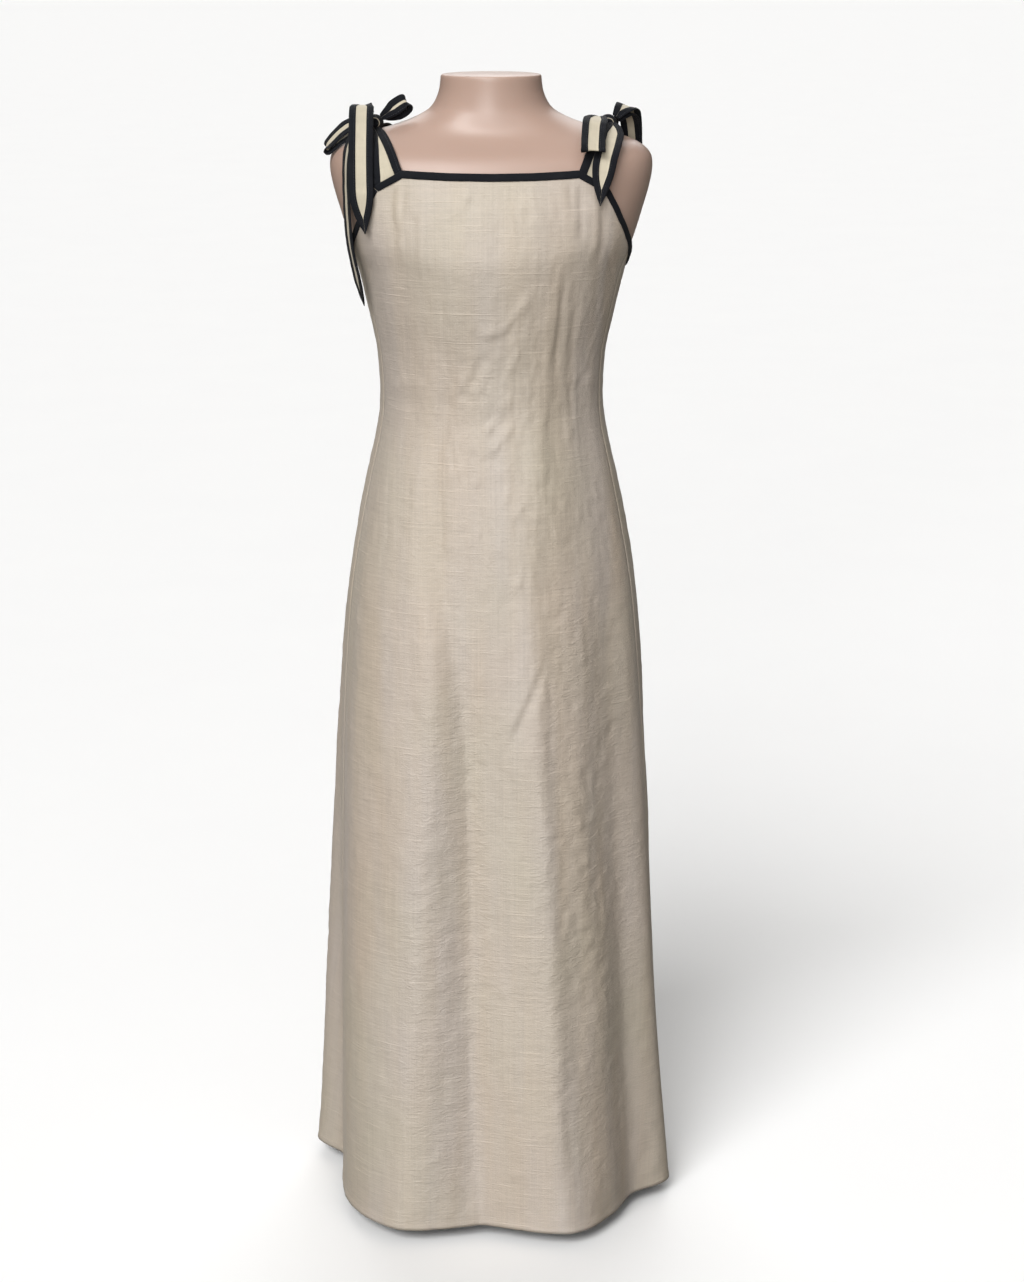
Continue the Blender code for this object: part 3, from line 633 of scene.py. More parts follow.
def crumple(swell, angle, height, groups, seed):
    """Adds seeded short crumples, most of them lying near level, in groups round a middle."""
    chance = np.random.default_rng(seed)
    for middle, level, wide, tall, count in groups:
        for _ in range(count):
            at = np.array([chance.normal(middle, wide), chance.normal(level, tall / 2)])
            length = chance.uniform(0.008, 0.030)
            tilt = chance.normal(0.15, 0.55)
            turn = math.degrees(math.cos(tilt) * length / float(girth(np.array(at[1]))))
            rise = math.sin(tilt) * length
            bend = np.array([chance.normal(0, 0.8), chance.normal(0, 0.0025)])
            half = np.array([turn, rise]) / 2
            depth = chance.choice([-1.0, 1.0]) * chance.uniform(0.5, 1.25)
            above, below = chance.uniform(2.4, 4.2, 2)
            press(swell, angle, height, depth, above, below, (at - half, at + bend, at + half))


def crushed(angle, height, groups):
    """How crumpled the cloth is, from 0 to 1, from the same groups."""
    total = np.zeros_like(angle)
    for middle, level, wide, tall, count in groups:
        aside = (angle - middle) / (1.5 * wide)
        above = (height - level) / (0.75 * tall)
        total += count / (6.5 * wide) * np.exp(-aside * aside - above * above)
    return np.clip(total, 0.0, 1.0)


def soften(values, passes):
    """Averages each value with its neighbours, along both ways of a grid."""
    for _ in range(passes):
        for axis in (0, 1):
            spare = np.concatenate(
                [values.take([0], axis), values, values.take([-1], axis)], axis
            )
            count = values.shape[axis]
            values = (
                spare.take(range(count), axis) + 2 * values + spare.take(range(2, count + 2), axis)
            ) / 4
    return values


def spaced(marks, step):
    """Values through all the marks, evenly spread between each two and about a step apart."""
    values = [np.array([marks[0]])]
    for start, end in zip(marks, marks[1:]):
        count = max(1, round((end - start) / step))
        values.append(np.linspace(start, end, count + 1)[1:])
    return np.concatenate(values)


def dress_points(angle, height, out=0.0):
    """Points of the smooth dress's outer face, moved out from the axis."""
    radius = section_radius(DRESS_SECTIONS, angle, height) + fold_swell(angle, height) + out
    return round_points(radius, angle, height)


# The lines to be stitched on each piece, each with the way out of the cloth at its points.
seams = {}


def write_uvs(mesh, flat):
    """The "cloth" UV map of a bmesh, from a place on the flat cloth for each of its points."""
    layer = mesh.loops.layers.uv.new("cloth")
    mesh.verts.index_update()
    for face in mesh.faces:
        for loop in face.loops:
            loop[layer].uv = flat[loop.vert.index]


def keep_modifiers(made):
    """Applies an object's modifiers to its mesh."""
    graph = bpy.context.evaluated_depsgraph_get()
    data = bpy.data.meshes.new_from_object(made.evaluated_get(graph))
    made.modifiers.clear()
    made.data = data
    return made


def thicken(made, thickness, offset):
    """Gives a sheet its thickness: inwards with an offset of -1, and outwards with 1."""
    wall = made.modifiers.new("wall", "SOLIDIFY")
    wall.thickness = thickness
    wall.offset = offset
    return keep_modifiers(made)


RIPPLE = 0.00055  # fine level ripples in the cloth
WAVE = 0.0016  # broad waves
TOP_FADE = 0.025  # how far below the top edge the folds come in
SEAM_FADE = 0.030  # and how far in from a side seam
SEAM_PINCH = 0.0005
SEAM_GROOVE = 0.0032


def cloth_panel(name, marks, step, creases, groups, seed):
    """A panel of the dress between its side seams, with its folds, creases and crumples.

    Its UV map is in metres along the cloth, from the centre and from the hem."""
    angles = spaced(marks, step)
    angles[0] += SEAM_TURN
    angles[-1] -= SEAM_TURN
    body = np.concatenate([np.linspace(HEM, YOKE, SKIRT_ROWS), np.full(YOKE_ROWS, YOKE)])
    share = np.concatenate([np.zeros(SKIRT_ROWS), np.linspace(0.0, 1.0, YOKE_ROWS + 1)[1:]])
    angle, height = np.meshgrid(angles, body)
    height = height + share[:, None] * (top_edge(angles)[None, :] - YOKE)
    swell = soften(fold_swell(angle, height), 3)
    for crease in creases:
        press(swell, angle, height, *crease)
    crumple(swell, angle, height, groups, seed)
    swell = soften(swell, 1)
    spots = list(zip(angle.ravel(), height.ravel()))
    ripples = [noise.fractal((a * 0.33, h * 46.0, seed), 1.0, 2.2, 3) for a, h in spots]
    waves = [noise.noise((a * 0.075, h * 9.0, seed + 7.0)) for a, h in spots]
    ripples, waves = (np.reshape(values, angle.shape) for values in (ripples, waves))
    swell += RIPPLE * ripples + WAVE * waves
    # Nothing moves at the top edge, which the bindings hold, nor at the side seams, where the two
    # panels meet and pull in a little.
    base = fold_swell(angle, height)
    in_from_seam = np.radians(np.minimum(angle - angles[0], angles[-1] - angle)) * girth(height)
    for edge in ((top_edge(angles)[None, :] - height) / TOP_FADE, in_from_seam / SEAM_FADE):
        edge = np.clip(edge, 0.0, 1.0)
        swell = base + (swell - base) * edge * edge * (3 - 2 * edge)
    for seam in (angles[0], angles[-1]):
        away = np.radians(np.abs(angle - seam)) * girth(height)
        swell -= SEAM_PINCH * np.exp(-((away / SEAM_GROOVE) ** 2))
    # The turned hem is thicker, and its stitching draws a shallow line above it.
    turn_up = (height - HEM) / HEM_TURN
    swell += HEM_PUFF * np.exp(-(np.clip(turn_up, 0, 9) ** 6))
    swell -= HEM_GROOVE * np.exp(-(((turn_up - 1.1) / 0.22) ** 2))
    radius = section_radius(DRESS_SECTIONS, angle, height) + swell
    points = round_points(radius, angle, height)
    outward = round_points(radius + CLOTH, angle, height) - points
    seams[name] = [(points[HEM_ROW], outward[HEM_ROW])]
    mesh, _ = grid_mesh(points)
    steps = np.linalg.norm(np.diff(points, axis=1), axis=-1)
    across = np.concatenate([np.zeros((len(points), 1)), np.cumsum(steps, axis=1)], axis=1)
    across -= across[:, [len(angles) // 2]]
    wear = mesh.verts.layers.float.new("crush")
    for vert, amount in zip(mesh.verts, crushed(angle, height, groups).ravel()):
        vert[wear] = amount
    write_uvs(mesh, np.stack([across.ravel(), height.ravel()], axis=-1))
    made = thicken(place_mesh(name, mesh, cloth_look), CLOTH, -1.0)
    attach(made, "root")
    return made


def maths(tree, operation, first, second=0.0):
    """The result of one sum on nodes' values."""
    return add(tree, "ShaderNodeMath", {0: first, 1: second}, operation=operation).outputs[0]


def summed(tree, first, *others):
    """The sum of some nodes' outputs, in order."""
    for other in others:
        first = maths(tree, "ADD", first, other)
    return first


def wave(tree, place, pitch):
    """A sine wave of a pitch in metres."""
    return maths(tree, "SINE", maths(tree, "MULTIPLY", place, 2 * math.pi / pitch))


def shaded(tree, colour, factor):
    """A colour made lighter or darker by a factor from a node."""
    made = add(tree, "ShaderNodeVectorMath", {0: colour, "Scale": factor}, operation="SCALE")
    return made.outputs[0]


cloth_look, tree, shader = new_material(
    "slub_cotton", Specular_IOR_Level=0.90, Anisotropic=0.65, Anisotropic_Rotation=0.25,
    Sheen_Weight=0.08, Sheen_Roughness=0.45, Sheen_Tint=(1.0, 0.93, 0.87, 1.0))
place = add(tree, "ShaderNodeUVMap", uv_map="cloth").outputs[0]
grain = add(tree, "ShaderNodeTangent", direction_type="UV_MAP", uv_map="cloth")
tree.links.new(grain.outputs[0], shader.inputs["Tangent"])
wefts = streaks(tree, place, 9.0, 640.0, detail=3.0)
slubs = streaks(tree, place, 13.0, 330.0, detail=1.0, distortion=0.2)
warps = streaks(tree, place, 560.0, 6.0, detail=2.0)
bands = streaks(tree, place, 16.0, 1.6, detail=2.0)
clouds = streaks(tree, place, 5.0, 3.0, detail=2.0)
crinkle = streaks(tree, place, 70.0, 190.0, detail=4.0, distortion=0.9)
squiggle = streaks(tree, place, 75.0, 180.0, detail=3.0, distortion=1.1)
crush = add(tree, "ShaderNodeAttribute", attribute_name="crush").outputs["Fac"]
beige = tinted(tree, (0.462, 0.386, 0.310, 1.0), (0.462, 0.402, 0.350, 1.0),
               remap(tree, bands, 0.38, 0.62, 0.0, 1.0))
beige = tinted(tree, beige, (0.440, 0.392, 0.306, 1.0), remap(tree, clouds, 0.42, 0.75, 0.0, 0.9))
# The crinkle's share of this lightness is painted shade. The same noise that raises the crinkles in the
# bump makes their hollows darker and their crests lighter. The wefts, slubs and warps are the yarn's own
# tone.
yarn_tone_and_painted_shade = summed(
    tree, remap(tree, wefts, 0.25, 0.75, -0.085, 0.085), remap(tree, slubs, 0.62, 0.74, 0.0, 0.11),
    remap(tree, warps, 0.25, 0.75, -0.055, 0.055), remap(tree, crinkle, 0.3, 0.7, 0.97, 1.03))
tree.links.new(shaded(tree, beige, yarn_tone_and_painted_shade), shader.inputs["Base Color"])
tree.links.new(remap(tree, wefts, 0.3, 0.7, 0.45, 0.57), shader.inputs["Roughness"])
apart = add(tree, "ShaderNodeSeparateXYZ", {0: place})
THREAD = 0.00085
weave = maths(tree, "MULTIPLY", wave(tree, apart.outputs[0], THREAD), wave(tree, apart.outputs[1], THREAD))
knobbly = maths(tree, "MULTIPLY", remap(tree, squiggle, 0.45, 0.72, 0.0, 0.38), crush)
reliefs = [maths(tree, "MULTIPLY", relief, depth)
           for relief, depth in ((weave, 0.05), (crinkle, 0.50), (wefts, 0.20), (warps, 0.12))]
height = summed(tree, *reliefs, knobbly, remap(tree, slubs, 0.62, 0.74, 0.0, 0.18))
raised(tree, shader, height, 0.0011)

FRONT_MARKS = (-SIDE_SEAM, -STRAP_CORNER, -NECK_CORNER, 0.0, NECK_CORNER, STRAP_CORNER, SIDE_SEAM)
BACK_MARKS = (SIDE_SEAM, BACK_STRAP_CORNER, BACK_NECK_CORNER, 180.0, 360.0 - BACK_NECK_CORNER,
              360.0 - BACK_STRAP_CORNER, 360.0 - SIDE_SEAM)
front = cloth_panel("front_cloth", FRONT_MARKS, 1.05, FRONT_CREASES, FRONT_CRUMPLES, 11)
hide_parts("front_panel")
back = cloth_panel("back_cloth", BACK_MARKS, 1.45, BACK_CREASES, BACK_CRUMPLES, 23)
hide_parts("back_panel")


# Bindings. Black cotton bias tape folded over the raw top edge: one along the front neckline and
# over the front strap bases, one along the back, and one round each armhole.
BINDING_WIDTH = 0.0068
ARMHOLE_WIDTH = 0.0064
TAPE_WALL = 0.0005
TAPE_STITCH_ROW = 2
TAPE_STEP = 0.75  # degrees
SLOPE_STEP = 1.2  # degrees to each side over which the top edge's slope is taken

black_look, tree, shader = new_material(
    "black_bias_cotton", Specular_IOR_Level=0.15, Sheen_Weight=0.03, Sheen_Roughness=0.5)
place = add(tree, "ShaderNodeUVMap", uv_map="cloth").outputs[0]
wefts = streaks(tree, place, 160.0, 900.0, detail=2.0)
fluff = streaks(tree, place, 40.0, 60.0, detail=3.0)
black = tinted(tree, (0.0030, 0.0036, 0.0056, 1.0), (0.0075, 0.0085, 0.0120, 1.0), wefts)
tree.links.new(tinted(tree, black, (0.014, 0.014, 0.017, 1.0), remap(tree, fluff, 0.5, 0.8, 0.0, 0.6)),
               shader.inputs["Base Color"])
tree.links.new(remap(tree, wefts, 0.3, 0.7, 0.64, 0.80), shader.inputs["Roughness"])
apart = add(tree, "ShaderNodeSeparateXYZ", {0: place})
RIB = 0.0009
ribs = wave(tree, summed(tree, *apart.outputs[:2]), RIB)
raised(tree, shader, summed(tree, maths(tree, "MULTIPLY", ribs, 0.12), fluff), 0.0005)

# Folded tape round the edge: millimetres out from the cloth's face, share of the tape's width down
TAPE_PROFILE = (
    (0.55, 1.00), (1.00, 0.97), (1.25, 0.85), (1.45, 0.60), (1.50, 0.35), (1.35, 0.12), (0.95, -0.02),
    (0.20, -0.10), (-0.75, -0.11), (-1.60, -0.06), (-2.10, 0.06), (-2.25, 0.30), (-2.20, 0.60),
    (-2.00, 0.90),
)
CLEAR = 0.12  # degrees between two tapes that meet at a strap's corner


def edge_tape(name, marks, width, seed):
    """Folded tape along the top edge between marks of angle, square to that edge."""
    angles = spaced(marks, TAPE_STEP)
    edge = top_edge(angles)
    radius = section_radius(DRESS_SECTIONS, angles, edge)
    run = radius * math.radians(2 * SLOPE_STEP)
    rise = top_edge(angles + SLOPE_STEP) - top_edge(angles - SLOPE_STEP)
    length = np.hypot(run, rise)
    rows = []
    for out, down in TAPE_PROFILE:
        drop = width * down
        angle = angles + np.degrees(drop * rise / length / radius)
        height = edge - drop * run / length
        pucker = np.array([noise.noise((a * 0.9, out, seed)) for a in angles])
        lift = 0.0002 * pucker * (1.0 + down)
        rows.append(dress_points(angle, height, out / 1000.0 + lift))
    points = np.array(rows)
    seams[name] = [(points[TAPE_STITCH_ROW], points[TAPE_STITCH_ROW] - points[-1])]
    mesh, _ = grid_mesh(points)
    runs = distances(points[0])
    write_uvs(mesh, [(run, down * width) for _, down in TAPE_PROFILE for run in runs])
    made = thicken(place_mesh(name, mesh, black_look), TAPE_WALL, 1.0)
    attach(made, "root")
    return made


front_binding = edge_tape(
    "front_neck_tape", (-STRAP_CORNER + CLEAR, -NECK_CORNER, 0.0, NECK_CORNER, STRAP_CORNER - CLEAR),
    BINDING_WIDTH, 3.0)
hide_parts("front_neck_binding")
back_binding = edge_tape(
    "back_neck_tape",
    (BACK_STRAP_CORNER + CLEAR, BACK_NECK_CORNER, 180.0, 360.0 - BACK_NECK_CORNER,
     360.0 - BACK_STRAP_CORNER - CLEAR), BINDING_WIDTH, 5.0)
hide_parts("back_neck_binding")
left_binding = edge_tape(
    "left_armhole_tape", (STRAP_CORNER + CLEAR, 60.0, 92.0, 117.0, BACK_STRAP_CORNER - CLEAR),
    ARMHOLE_WIDTH, 7.0)
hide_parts("left_armhole_binding")
right_binding = edge_tape(
    "right_armhole_tape", (-BACK_STRAP_CORNER + CLEAR, -117.0, -92.0, -60.0, -STRAP_CORNER - CLEAR),
    ARMHOLE_WIDTH, 9.0)
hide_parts("right_armhole_binding")


# Shoulder straps and bows. Each strap and tie is a strip of the beige cloth with both edges bound in
# the black tape. The straps narrow to the knots, where the ties cross into two loops and two tails.
KNOTS = {"right": (-1, -0.134, -0.008, 1.3332), "left": (1, 0.134, -0.009, 1.3334)}
SHOULDER_CENTRE = 1.262
SEAM_GAP = 0.0003
STRAP_ROWS = 44
STRAP_BORDER = 0.0100
BORDER = 0.0080  # a tie's black edge on each side
GATHER = 0.38  # share of its width that a tie keeps where it leaves the knot
TUCK = 0.0070  # how far a strap's end reaches down behind the binding
TUCK_DEPTH = 0.0024  # how far inside the dress's face it lies there
STRAP_TOP = 0.013  # a strap's width at the knot

tie_look, tree, shader = new_material(
    "beige_tie_cotton", Roughness=0.64, Specular_IOR_Level=0.3, Sheen_Weight=0.2, Sheen_Roughness=0.45)
place = add(tree, "ShaderNodeUVMap", uv_map="cloth").outputs[0]
wefts = streaks(tree, place, 700.0, 30.0, detail=3.0)
slubs = streaks(tree, place, 330.0, 40.0, detail=1.0)
crush = streaks(tree, place, 60.0, 110.0, detail=3.0, distortion=0.6)
beige = tinted(tree, (0.52, 0.470, 0.365, 1.0), (0.46, 0.405, 0.305, 1.0), wefts)
# The crush's share of this lightness is painted shade. The same noise that raises the crumples in the bump
# makes their hollows darker and their crests lighter. The slubs are the yarn's own tone.
yarn_tone_and_painted_shade = summed(tree, remap(tree, slubs, 0.60, 0.74, 0.0, 0.12), remap(tree, crush, 0.3, 0.7, 0.95, 1.05))
tree.links.new(shaded(tree, beige, yarn_tone_and_painted_shade), shader.inputs["Base Color"])
raised(tree, shader, summed(tree, crush, maths(tree, "MULTIPLY", wefts, 0.3)), 0.0007)

# Points of a strip's ring that stitches follow, with the face that each is on, and the ring's spans
# that are beige
STRIP_STITCHES = ((3, 1.0), (11, 1.0), (24, -1.0), (16, -1.0))
BEIGE_SPANS = {*range(5, 9), *range(19, 23)}


def bound_strip(name, line, half_widths, across, border, seed, lumpy=0.0005, rounded=0.00085):
    """A strip with raised bound edges along a line: a closed ring of points at each station.

    The beige middle ends where the strip is too narrow for more than its two borders."""
    line = np.asarray(line, float)
    across = np.asarray(across, float)
    ahead = np.gradient(line, axis=0)
    ahead /= np.linalg.norm(ahead, axis=-1, keepdims=True)
    wide = across - ahead * np.sum(across * ahead, axis=-1, keepdims=True)
    wide /= np.linalg.norm(wide, axis=-1, keepdims=True)
    up = np.cross(ahead, wide)
    runs = distances(line)
    mesh = bmesh.new()
    rings = []
    flat = []
    for k, centre in enumerate(line):
        half = half_widths[k]
        edge = min(border, half - 0.00005)
        middle = half - edge
        right = [(middle * 0.55, 0.42), (middle, 0.34), (middle + 0.03 * edge, 0.62),
                 (middle + 0.25 * edge, 0.95), (half - 0.32 * edge, 1.0), (half - 0.10 * edge, 0.75),
                 (half, 0.0)]
        shape = [(-side, lift) for side, lift in reversed(right)] + [(0.0, 0.46)] + right
        thickness = rounded * min(1.0, 0.35 + half / 0.008)
        ring = []
        for sign, places in ((1.0, shape), (-1.0, shape[-2:0:-1])):
            for side, lift in places:
                wander = lumpy * noise.noise((runs[k] * 70.0, side * 90.0, seed))
                spot = centre + wide[k] * side + up[k] * (sign * lift * thickness + wander)
                ring.append(mesh.verts.new(spot))
                flat.append((side, runs[k]))
        rings.append(ring)
    seams[name] = []
    for number, sign in STRIP_STITCHES:
        row = np.array([ring[number].co[:] for ring in rings[1:-1]])
        seams[name].append((row, up[1:-1] * sign))
    count = len(rings[0])
    for low, high in zip(rings, rings[1:]):
        for n in range(count):
            after = (n + 1) % count
            face = mesh.faces.new((low[n], high[n], high[after], low[after]))
            face.material_index = 0 if n in BEIGE_SPANS else 1
    write_uvs(mesh, flat)
    for ring in (rings[0], rings[-1][::-1]):
        cap = mesh.faces.new(ring)
        cap.material_index = 1
    bmesh.ops.remove_doubles(mesh, verts=mesh.verts, dist=0.000004)
    bmesh.ops.recalc_face_normals(mesh, faces=mesh.faces)
    made = place_mesh(name, mesh, tie_look, black_look)
    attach(made, "root")
    return made, float(runs[-1])


def inside_form(point):
    half_width, front, back, squareness = (
        float(along(FORM_SECTIONS, k, np.array(point[2]))) for k in (1, 2, 3, 4)
    )
    depth = front if point[1] < 0 else back
    filled = (abs(point[0]) / half_width) ** squareness + (abs(point[1]) / depth) ** squareness
    return filled < 1 and point[2] < FORM_SECTIONS[-1][0]


def over_shoulder(x, elevation, clear):
    """A point just off the shoulder: x is kept, elevation turns from the front (0) to the back (180)."""
    turn = math.radians(elevation)
    heading = np.array([0.0, -math.cos(turn), math.sin(turn)])
    centre = np.array([x, 0.0, SHOULDER_CENTRE])
    near, far = 0.0, 0.2
    for _ in range(30):
        middle = (near + far) / 2
        if inside_form(centre + heading * middle):
            near = middle
        else:
            far = middle
    return centre + heading * (near + clear)


def strap(name, side, start_angles, start_elevations, end_elevation, seed):
    """Shoulder strap from the top edge to the knot, close over the form and narrower at the knot."""
    knot_x = abs(KNOTS["left"][1])
    inner, outer = [], []
    # The strap's end is sewn in behind the binding, inside the cloth.
    for ends, angle in zip((inner, outer), start_angles):
        tucked = dress_points(np.array([angle]), np.array([float(top_edge(angle)) - TUCK]), -TUCK_DEPTH)[0]
        ends.append(np.array([side * abs(tucked[0]), tucked[1], tucked[2]]))
    for k in range(STRAP_ROWS):
        share = k / (STRAP_ROWS - 1)
        lift = 0.0062 * (1 - share) ** 1.5 + 0.0026 + 0.0016 * share**2
        row = []
        for step in (0.0, 1.0):
            angle = start_angles[0] + (start_angles[1] - start_angles[0]) * step
            foot = dress_points(np.array([angle]), np.array([float(top_edge(angle)) + SEAM_GAP]))[0]
            start_x = abs(foot[0])
            end_x = knot_x + STRAP_TOP * (step - 0.5)
            first = start_elevations[0] + (start_elevations[1] - start_elevations[0]) * step
            elevation = first + (end_elevation - first) * share
            x = start_x + (end_x - start_x) * share**0.9
            point = over_shoulder(x, elevation, lift)
            settle = max(0.0, 1 - share * 4)
            foot[0] = start_x
            spot = point + (foot - point) * settle
            row.append(np.array([side * spot[0], spot[1], spot[2]]))
        inner.append(row[0])
        outer.append(row[1])
    inner, outer = np.array(inner), np.array(outer)
    line = smooth_route(((inner + outer) / 2)[::4], 4)
    half = np.linalg.norm(outer - inner, axis=-1) / 2
    made, length = bound_strip(name, line, half, side * (outer - inner), STRAP_BORDER, seed, lumpy=0.0004)
    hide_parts(name.replace("_band", "_strap"))
    return made


# name, width, which way the width lies, pointed, route from the knot outwards
RIBBONS = (
    ("right_front_tail", 0.028, (1.0, 0.05, 0.0), True,
     ((-0.1386, -0.0090, 1.3418), (-0.1460, -0.0120, 1.3525), (-0.1472, -0.0300, 1.3500),
      (-0.1468, -0.0540, 1.3290), (-0.1462, -0.0780, 1.2980), (-0.1455, -0.0905, 1.2640),
      (-0.1440, -0.0925, 1.2370), (-0.1415, -0.0935, 1.2160))),
    ("right_side_tail", 0.022, (0.45, -1.0, 0.0), True,
     ((-0.1403, -0.0170, 1.3325), (-0.1505, -0.0290, 1.3270), (-0.1590, -0.0450, 1.3160),
      (-0.1635, -0.0590, 1.2960), (-0.1640, -0.0660, 1.2660), (-0.1630, -0.0700, 1.2330),
      (-0.1605, -0.0680, 1.2000), (-0.1545, -0.0600, 1.1650), (-0.1470, -0.0470, 1.1280))),
    ("right_inner_loop", 0.019, (0.64, -0.30, -0.70), False,
     ((-0.1257, -0.0141, 1.3394), (-0.1170, -0.0185, 1.3455), (-0.1065, -0.0195, 1.3535),
      (-0.0985, -0.0180, 1.3575), (-0.0960, -0.0155, 1.3540), (-0.1010, -0.0130, 1.3485),
      (-0.1100, -0.0105, 1.3440), (-0.1180, -0.0080, 1.3414), (-0.1245, -0.0054, 1.3409))),
    ("right_outer_loop", 0.023, (0.0, -0.78, -0.62), False,
     ((-0.1443, -0.0075, 1.3356), (-0.1580, -0.0100, 1.3335), (-0.1725, -0.0140, 1.3240),
      (-0.1870, -0.0165, 1.3095), (-0.1872, -0.0165, 1.3050), (-0.1735, -0.0140, 1.3150),
      (-0.1580, -0.0100, 1.3250), (-0.1448, -0.0080, 1.3302))),
    ("left_front_tail", 0.027, (1.0, 0.20, 0.0), True,
     ((0.1391, -0.0199, 1.3335), (0.1390, -0.0380, 1.3270), (0.1345, -0.0640, 1.3140),
      (0.1290, -0.0830, 1.2980), (0.1255, -0.0915, 1.2780), (0.1240, -0.0950, 1.2620),
      (0.1230, -0.0985, 1.2480))),
    ("left_back_tail", 0.025, (1.0, -0.25, 0.0), True,
     ((0.1369, 0.0015, 1.3330), (0.1365, 0.0200, 1.3370), (0.1360, 0.0480, 1.3250),
      (0.1365, 0.0755, 1.2960), (0.1370, 0.0920, 1.2560), (0.1365, 0.0985, 1.2150))),
    ("left_front_loop", 0.028, (1.0, 0.25, -0.10), False,
     ((0.1256, -0.0172, 1.3395), (0.1215, -0.0330, 1.3415), (0.1175, -0.0560, 1.3365),
      (0.1155, -0.0780, 1.3220), (0.1147, -0.0915, 1.3120), (0.1150, -0.0905, 1.3090),
      (0.1155, -0.0760, 1.3160), (0.1170, -0.0550, 1.3295), (0.1200, -0.0340, 1.3370),
      (0.1244, -0.0172, 1.3350))),
    ("left_outer_loop", 0.024, (1.0, 0.10, -0.30), False,
     ((0.1432, -0.0100, 1.3396), (0.1500, -0.0030, 1.3480), (0.1570, 0.0110, 1.3505),
      (0.1615, 0.0270, 1.3440), (0.1640, 0.0410, 1.3280), (0.1650, 0.0500, 1.3080),
      (0.1650, 0.0470, 1.3060), (0.1630, 0.0370, 1.3240), (0.1595, 0.0235, 1.3380),
      (0.1545, 0.0090, 1.3440), (0.1490, -0.0020, 1.3410), (0.1448, -0.0054, 1.3364))),
)


def ribbon(name, width, across, pointed, route, seed):
    """A tie's loop or tail: a bound strip along its route, gathered at the knot."""
    line = smooth_route(route, 9)
    runs = distances(line)
    total = runs[-1]
    gathered = GATHER + (1 - GATHER) * np.clip(runs / width, 0, 1) ** 0.8
    if pointed:
        tip = np.clip((total - runs) / (1.75 * width), 0.0, 1.0)
        half = width / 2 * gathered * np.maximum(0.06, np.sin(0.5 * math.pi * tip) ** 0.9)
    else:
        closing = GATHER + (1 - GATHER) * np.clip((total - runs) / width, 0, 1) ** 0.8
        half = width / 2 * np.minimum(gathered, closing)
    made, length = bound_strip(name.replace("tail", "end").replace("loop", "bow"), line, half,
                               np.tile(across, (len(line), 1)), BORDER, seed)
    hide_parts(name)
    return made


KNOT_RADII = (0.0102, 0.0104, 0.0092)
KNOT_POLE = 0.0092
KNOT_DEPTH = 0.0098
PALE_TURN = (2.46, 2.60)  # where the beige shows in the knot's turns, in radians from its back


def knot(name, x, y, z, seed):
    """The tied knot: the tie wound once round the others, in uneven rounded turns."""
    mesh = bmesh.new()
    rings, columns = 26, 36
    grid = []
    for r in range(1, rings):
        lean = math.pi * r / rings
        row = []
        for c in range(columns):
            turn = 2 * math.pi * c / columns
            wrap = 0.5 + 0.5 * math.cos(3.0 * (lean - math.pi / 2) * 2.0 + 0.8 * math.sin(turn + seed))
            uneven = noise.noise((math.cos(turn) * 1.5, math.sin(turn) * 1.5, lean * 2 + seed))
            size = 0.90 + 0.12 * wrap + 0.05 * uneven
            out = math.sin(lean)
            spot = Vector((out * math.cos(turn), math.cos(lean), out * math.sin(turn)))
            row.append(mesh.verts.new([
                middle + step * size * radius for middle, step, radius in zip((x, y, z), spot, KNOT_RADII)
            ]))
        grid.append(row)
    first = mesh.verts.new((x, y + KNOT_POLE, z))
    last = mesh.verts.new((x, y - KNOT_POLE, z))
    for c in range(columns):
        n = (c + 1) % columns
        mesh.faces.new((first, grid[0][c], grid[0][n]))
        mesh.faces.new((last, grid[-1][n], grid[-1][c]))
        for low, high in zip(grid, grid[1:]):
            mesh.faces.new((low[c], high[c], high[n], low[n]))
    write_uvs(mesh, [(vert.co.x, vert.co.y + vert.co.z) for vert in mesh.verts])
    bmesh.ops.recalc_face_normals(mesh, faces=mesh.faces)
    for face in mesh.faces:
        lean = math.acos(max(-1.0, min(1.0, (face.calc_center_median().y - y) / KNOT_DEPTH)))
        face.material_index = int(PALE_TURN[0] < lean < PALE_TURN[1])
    made = place_mesh(name, mesh, black_look, tie_look)
    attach(made, "root")
    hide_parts(name.replace("_wrap", "_knot"))
    return made


for side_name, (side, x, y, z) in KNOTS.items():
    strap(f"{side_name}_front_band", side, (NECK_CORNER, STRAP_CORNER), (14.7, 4.0), 75.4, 1.0 + side)
    strap(f"{side_name}_back_band", side, (BACK_NECK_CORNER, BACK_STRAP_CORNER), (177.0, 187.0), 91.0,
          4.0 + side)
    knot(f"{side_name}_wrap", x, y, z, 2.0 + side)
for number, row in enumerate(RIBBONS):
    ribbon(*row, seed=20.0 + number)


# Stitches. Short locked stitches in cotton thread, beige along the turned hem and black along the
# inner edge of every binding, sewn by machine at an even pitch.
STITCH_PITCH = 0.0030
STITCH_LENGTH = 0.0023
STITCH_THICKNESS = 0.00042


def thread(name, roughness, dark, yarn_tone_and_painted_shade):
    """Twisted cotton thread between two shades."""
    look, tree, shader = new_material(name, Roughness=roughness)
    place = add(tree, "ShaderNodeTexCoord").outputs["Object"]
    strands = streaks(tree, place, 2600.0, 2600.0)
    tree.links.new(tinted(tree, dark, yarn_tone_and_painted_shade, strands), shader.inputs["Base Color"])
    raised(tree, shader, strands, 0.0001)
    return look


beige_thread = thread("beige_thread", 0.6, (0.40, 0.33, 0.26, 1.0), (0.50, 0.43, 0.35, 1.0))
black_thread = thread("black_thread", 0.5, (0.012, 0.013, 0.017, 1.0), (0.030, 0.032, 0.040, 1.0))

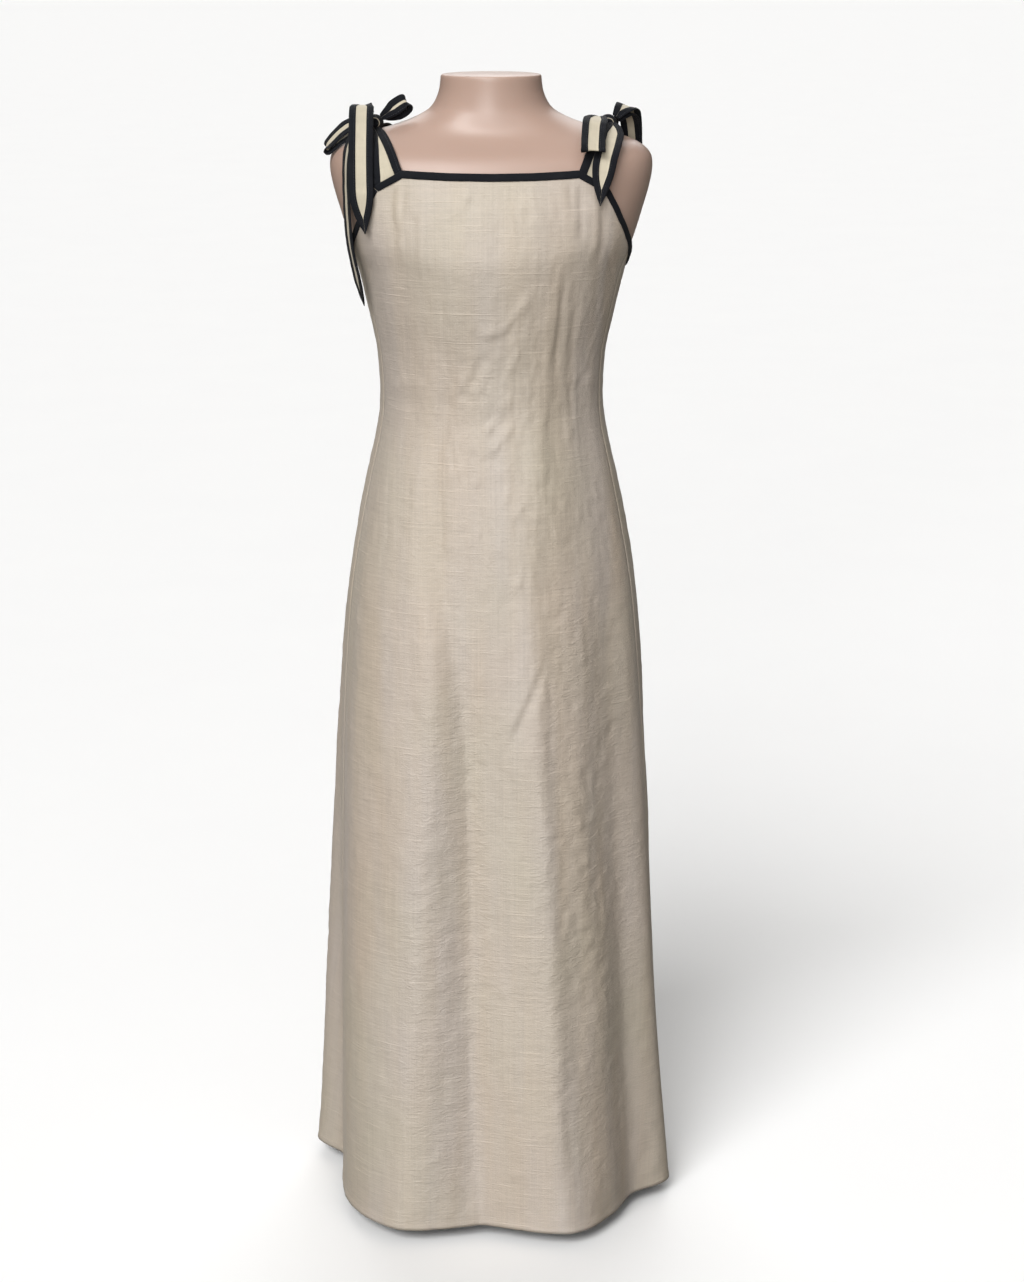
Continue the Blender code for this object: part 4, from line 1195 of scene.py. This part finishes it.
stitch_row = bpy.data.node_groups.new("stitch_row", "GeometryNodeTree")
SOCKETS = (("Geometry", "INPUT", "NodeSocketGeometry"), ("Pitch", "INPUT", "NodeSocketFloat"),
           ("Length", "INPUT", "NodeSocketFloat"), ("Thickness", "INPUT", "NodeSocketFloat"),
           ("Thread", "INPUT", "NodeSocketMaterial"), ("Geometry", "OUTPUT", "NodeSocketGeometry"))
for socket_name, in_out, socket_type in SOCKETS:
    stitch_row.interface.new_socket(socket_name, in_out=in_out, socket_type=socket_type)


def grow(kind, sockets=None, **settings):
    """The first output of a Geometry Nodes node in the stitches' tree."""
    return add(stitch_row, "GeometryNode" + kind, sockets, **settings).outputs[0]


given = add(stitch_row, "NodeGroupInput").outputs
route = grow("MeshToCurve", {"Mesh": given["Geometry"]})
places = grow("ResampleCurve", {"Curve": route, "Length": given["Pitch"]}, mode="LENGTH")
bead = grow("MeshUVSphere", {"Segments": 6, "Rings": 4, "Radius": 0.5})
stretch = add(stitch_row, "ShaderNodeCombineXYZ",
              {"X": given["Thickness"], "Y": given["Thickness"], "Z": given["Length"]})
stitch = grow("Transform", {"Geometry": bead, "Scale": stretch.outputs[0]})
lie = add(stitch_row, "FunctionNodeAlignRotationToVector", {"Vector": grow("InputTangent")}, axis="Z")
sewn = grow("InstanceOnPoints", {"Points": places, "Instance": stitch, "Rotation": lie.outputs[0]})
smooth = grow("SetShadeSmooth", {"Geometry": grow("RealizeInstances", {"Geometry": sewn})})
coloured = grow("SetMaterial", {"Geometry": smooth, "Material": given["Thread"]})
add(stitch_row, "NodeGroupOutput", {"Geometry": coloured})


def stitches(name, pieces, look):
    """Rows of stitches laid on the seams that pieces have kept, as one plain mesh."""
    mesh = bmesh.new()
    for piece in pieces:
        for line, outward in seams[piece]:
            outward = outward / np.linalg.norm(outward, axis=-1, keepdims=True)
            verts = [mesh.verts.new(spot) for spot in line + outward * 0.25 * STITCH_THICKNESS]
            for start, end in zip(verts, verts[1:]):
                mesh.edges.new((start, end))
    data = bpy.data.meshes.new(name)
    mesh.to_mesh(data)
    mesh.free()
    made = bpy.data.objects.new(name, data)
    scene.collection.objects.link(made)
    modifier = made.modifiers.new("stitches", "NODES")
    modifier.node_group = stitch_row
    values = {"Pitch": STITCH_PITCH, "Length": STITCH_LENGTH, "Thickness": STITCH_THICKNESS,
              "Thread": look}
    for socket in stitch_row.interface.items_tree:
        if socket.in_out == "INPUT" and socket.name in values:
            modifier[socket.identifier] = values[socket.name]
    keep_modifiers(made)
    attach(made, "root")


stitches("front_hem_stitches", ["front_cloth"], beige_thread)
stitches("back_hem_stitches", ["back_cloth"], beige_thread)
TAPES = [name for name in seams if name.endswith("_tape")]
TIES = [name for name in seams if name.endswith(("_band", "_end", "_bow"))]
stitches("binding_stitches", TAPES, black_thread)
stitches("tie_stitches", TIES, black_thread)
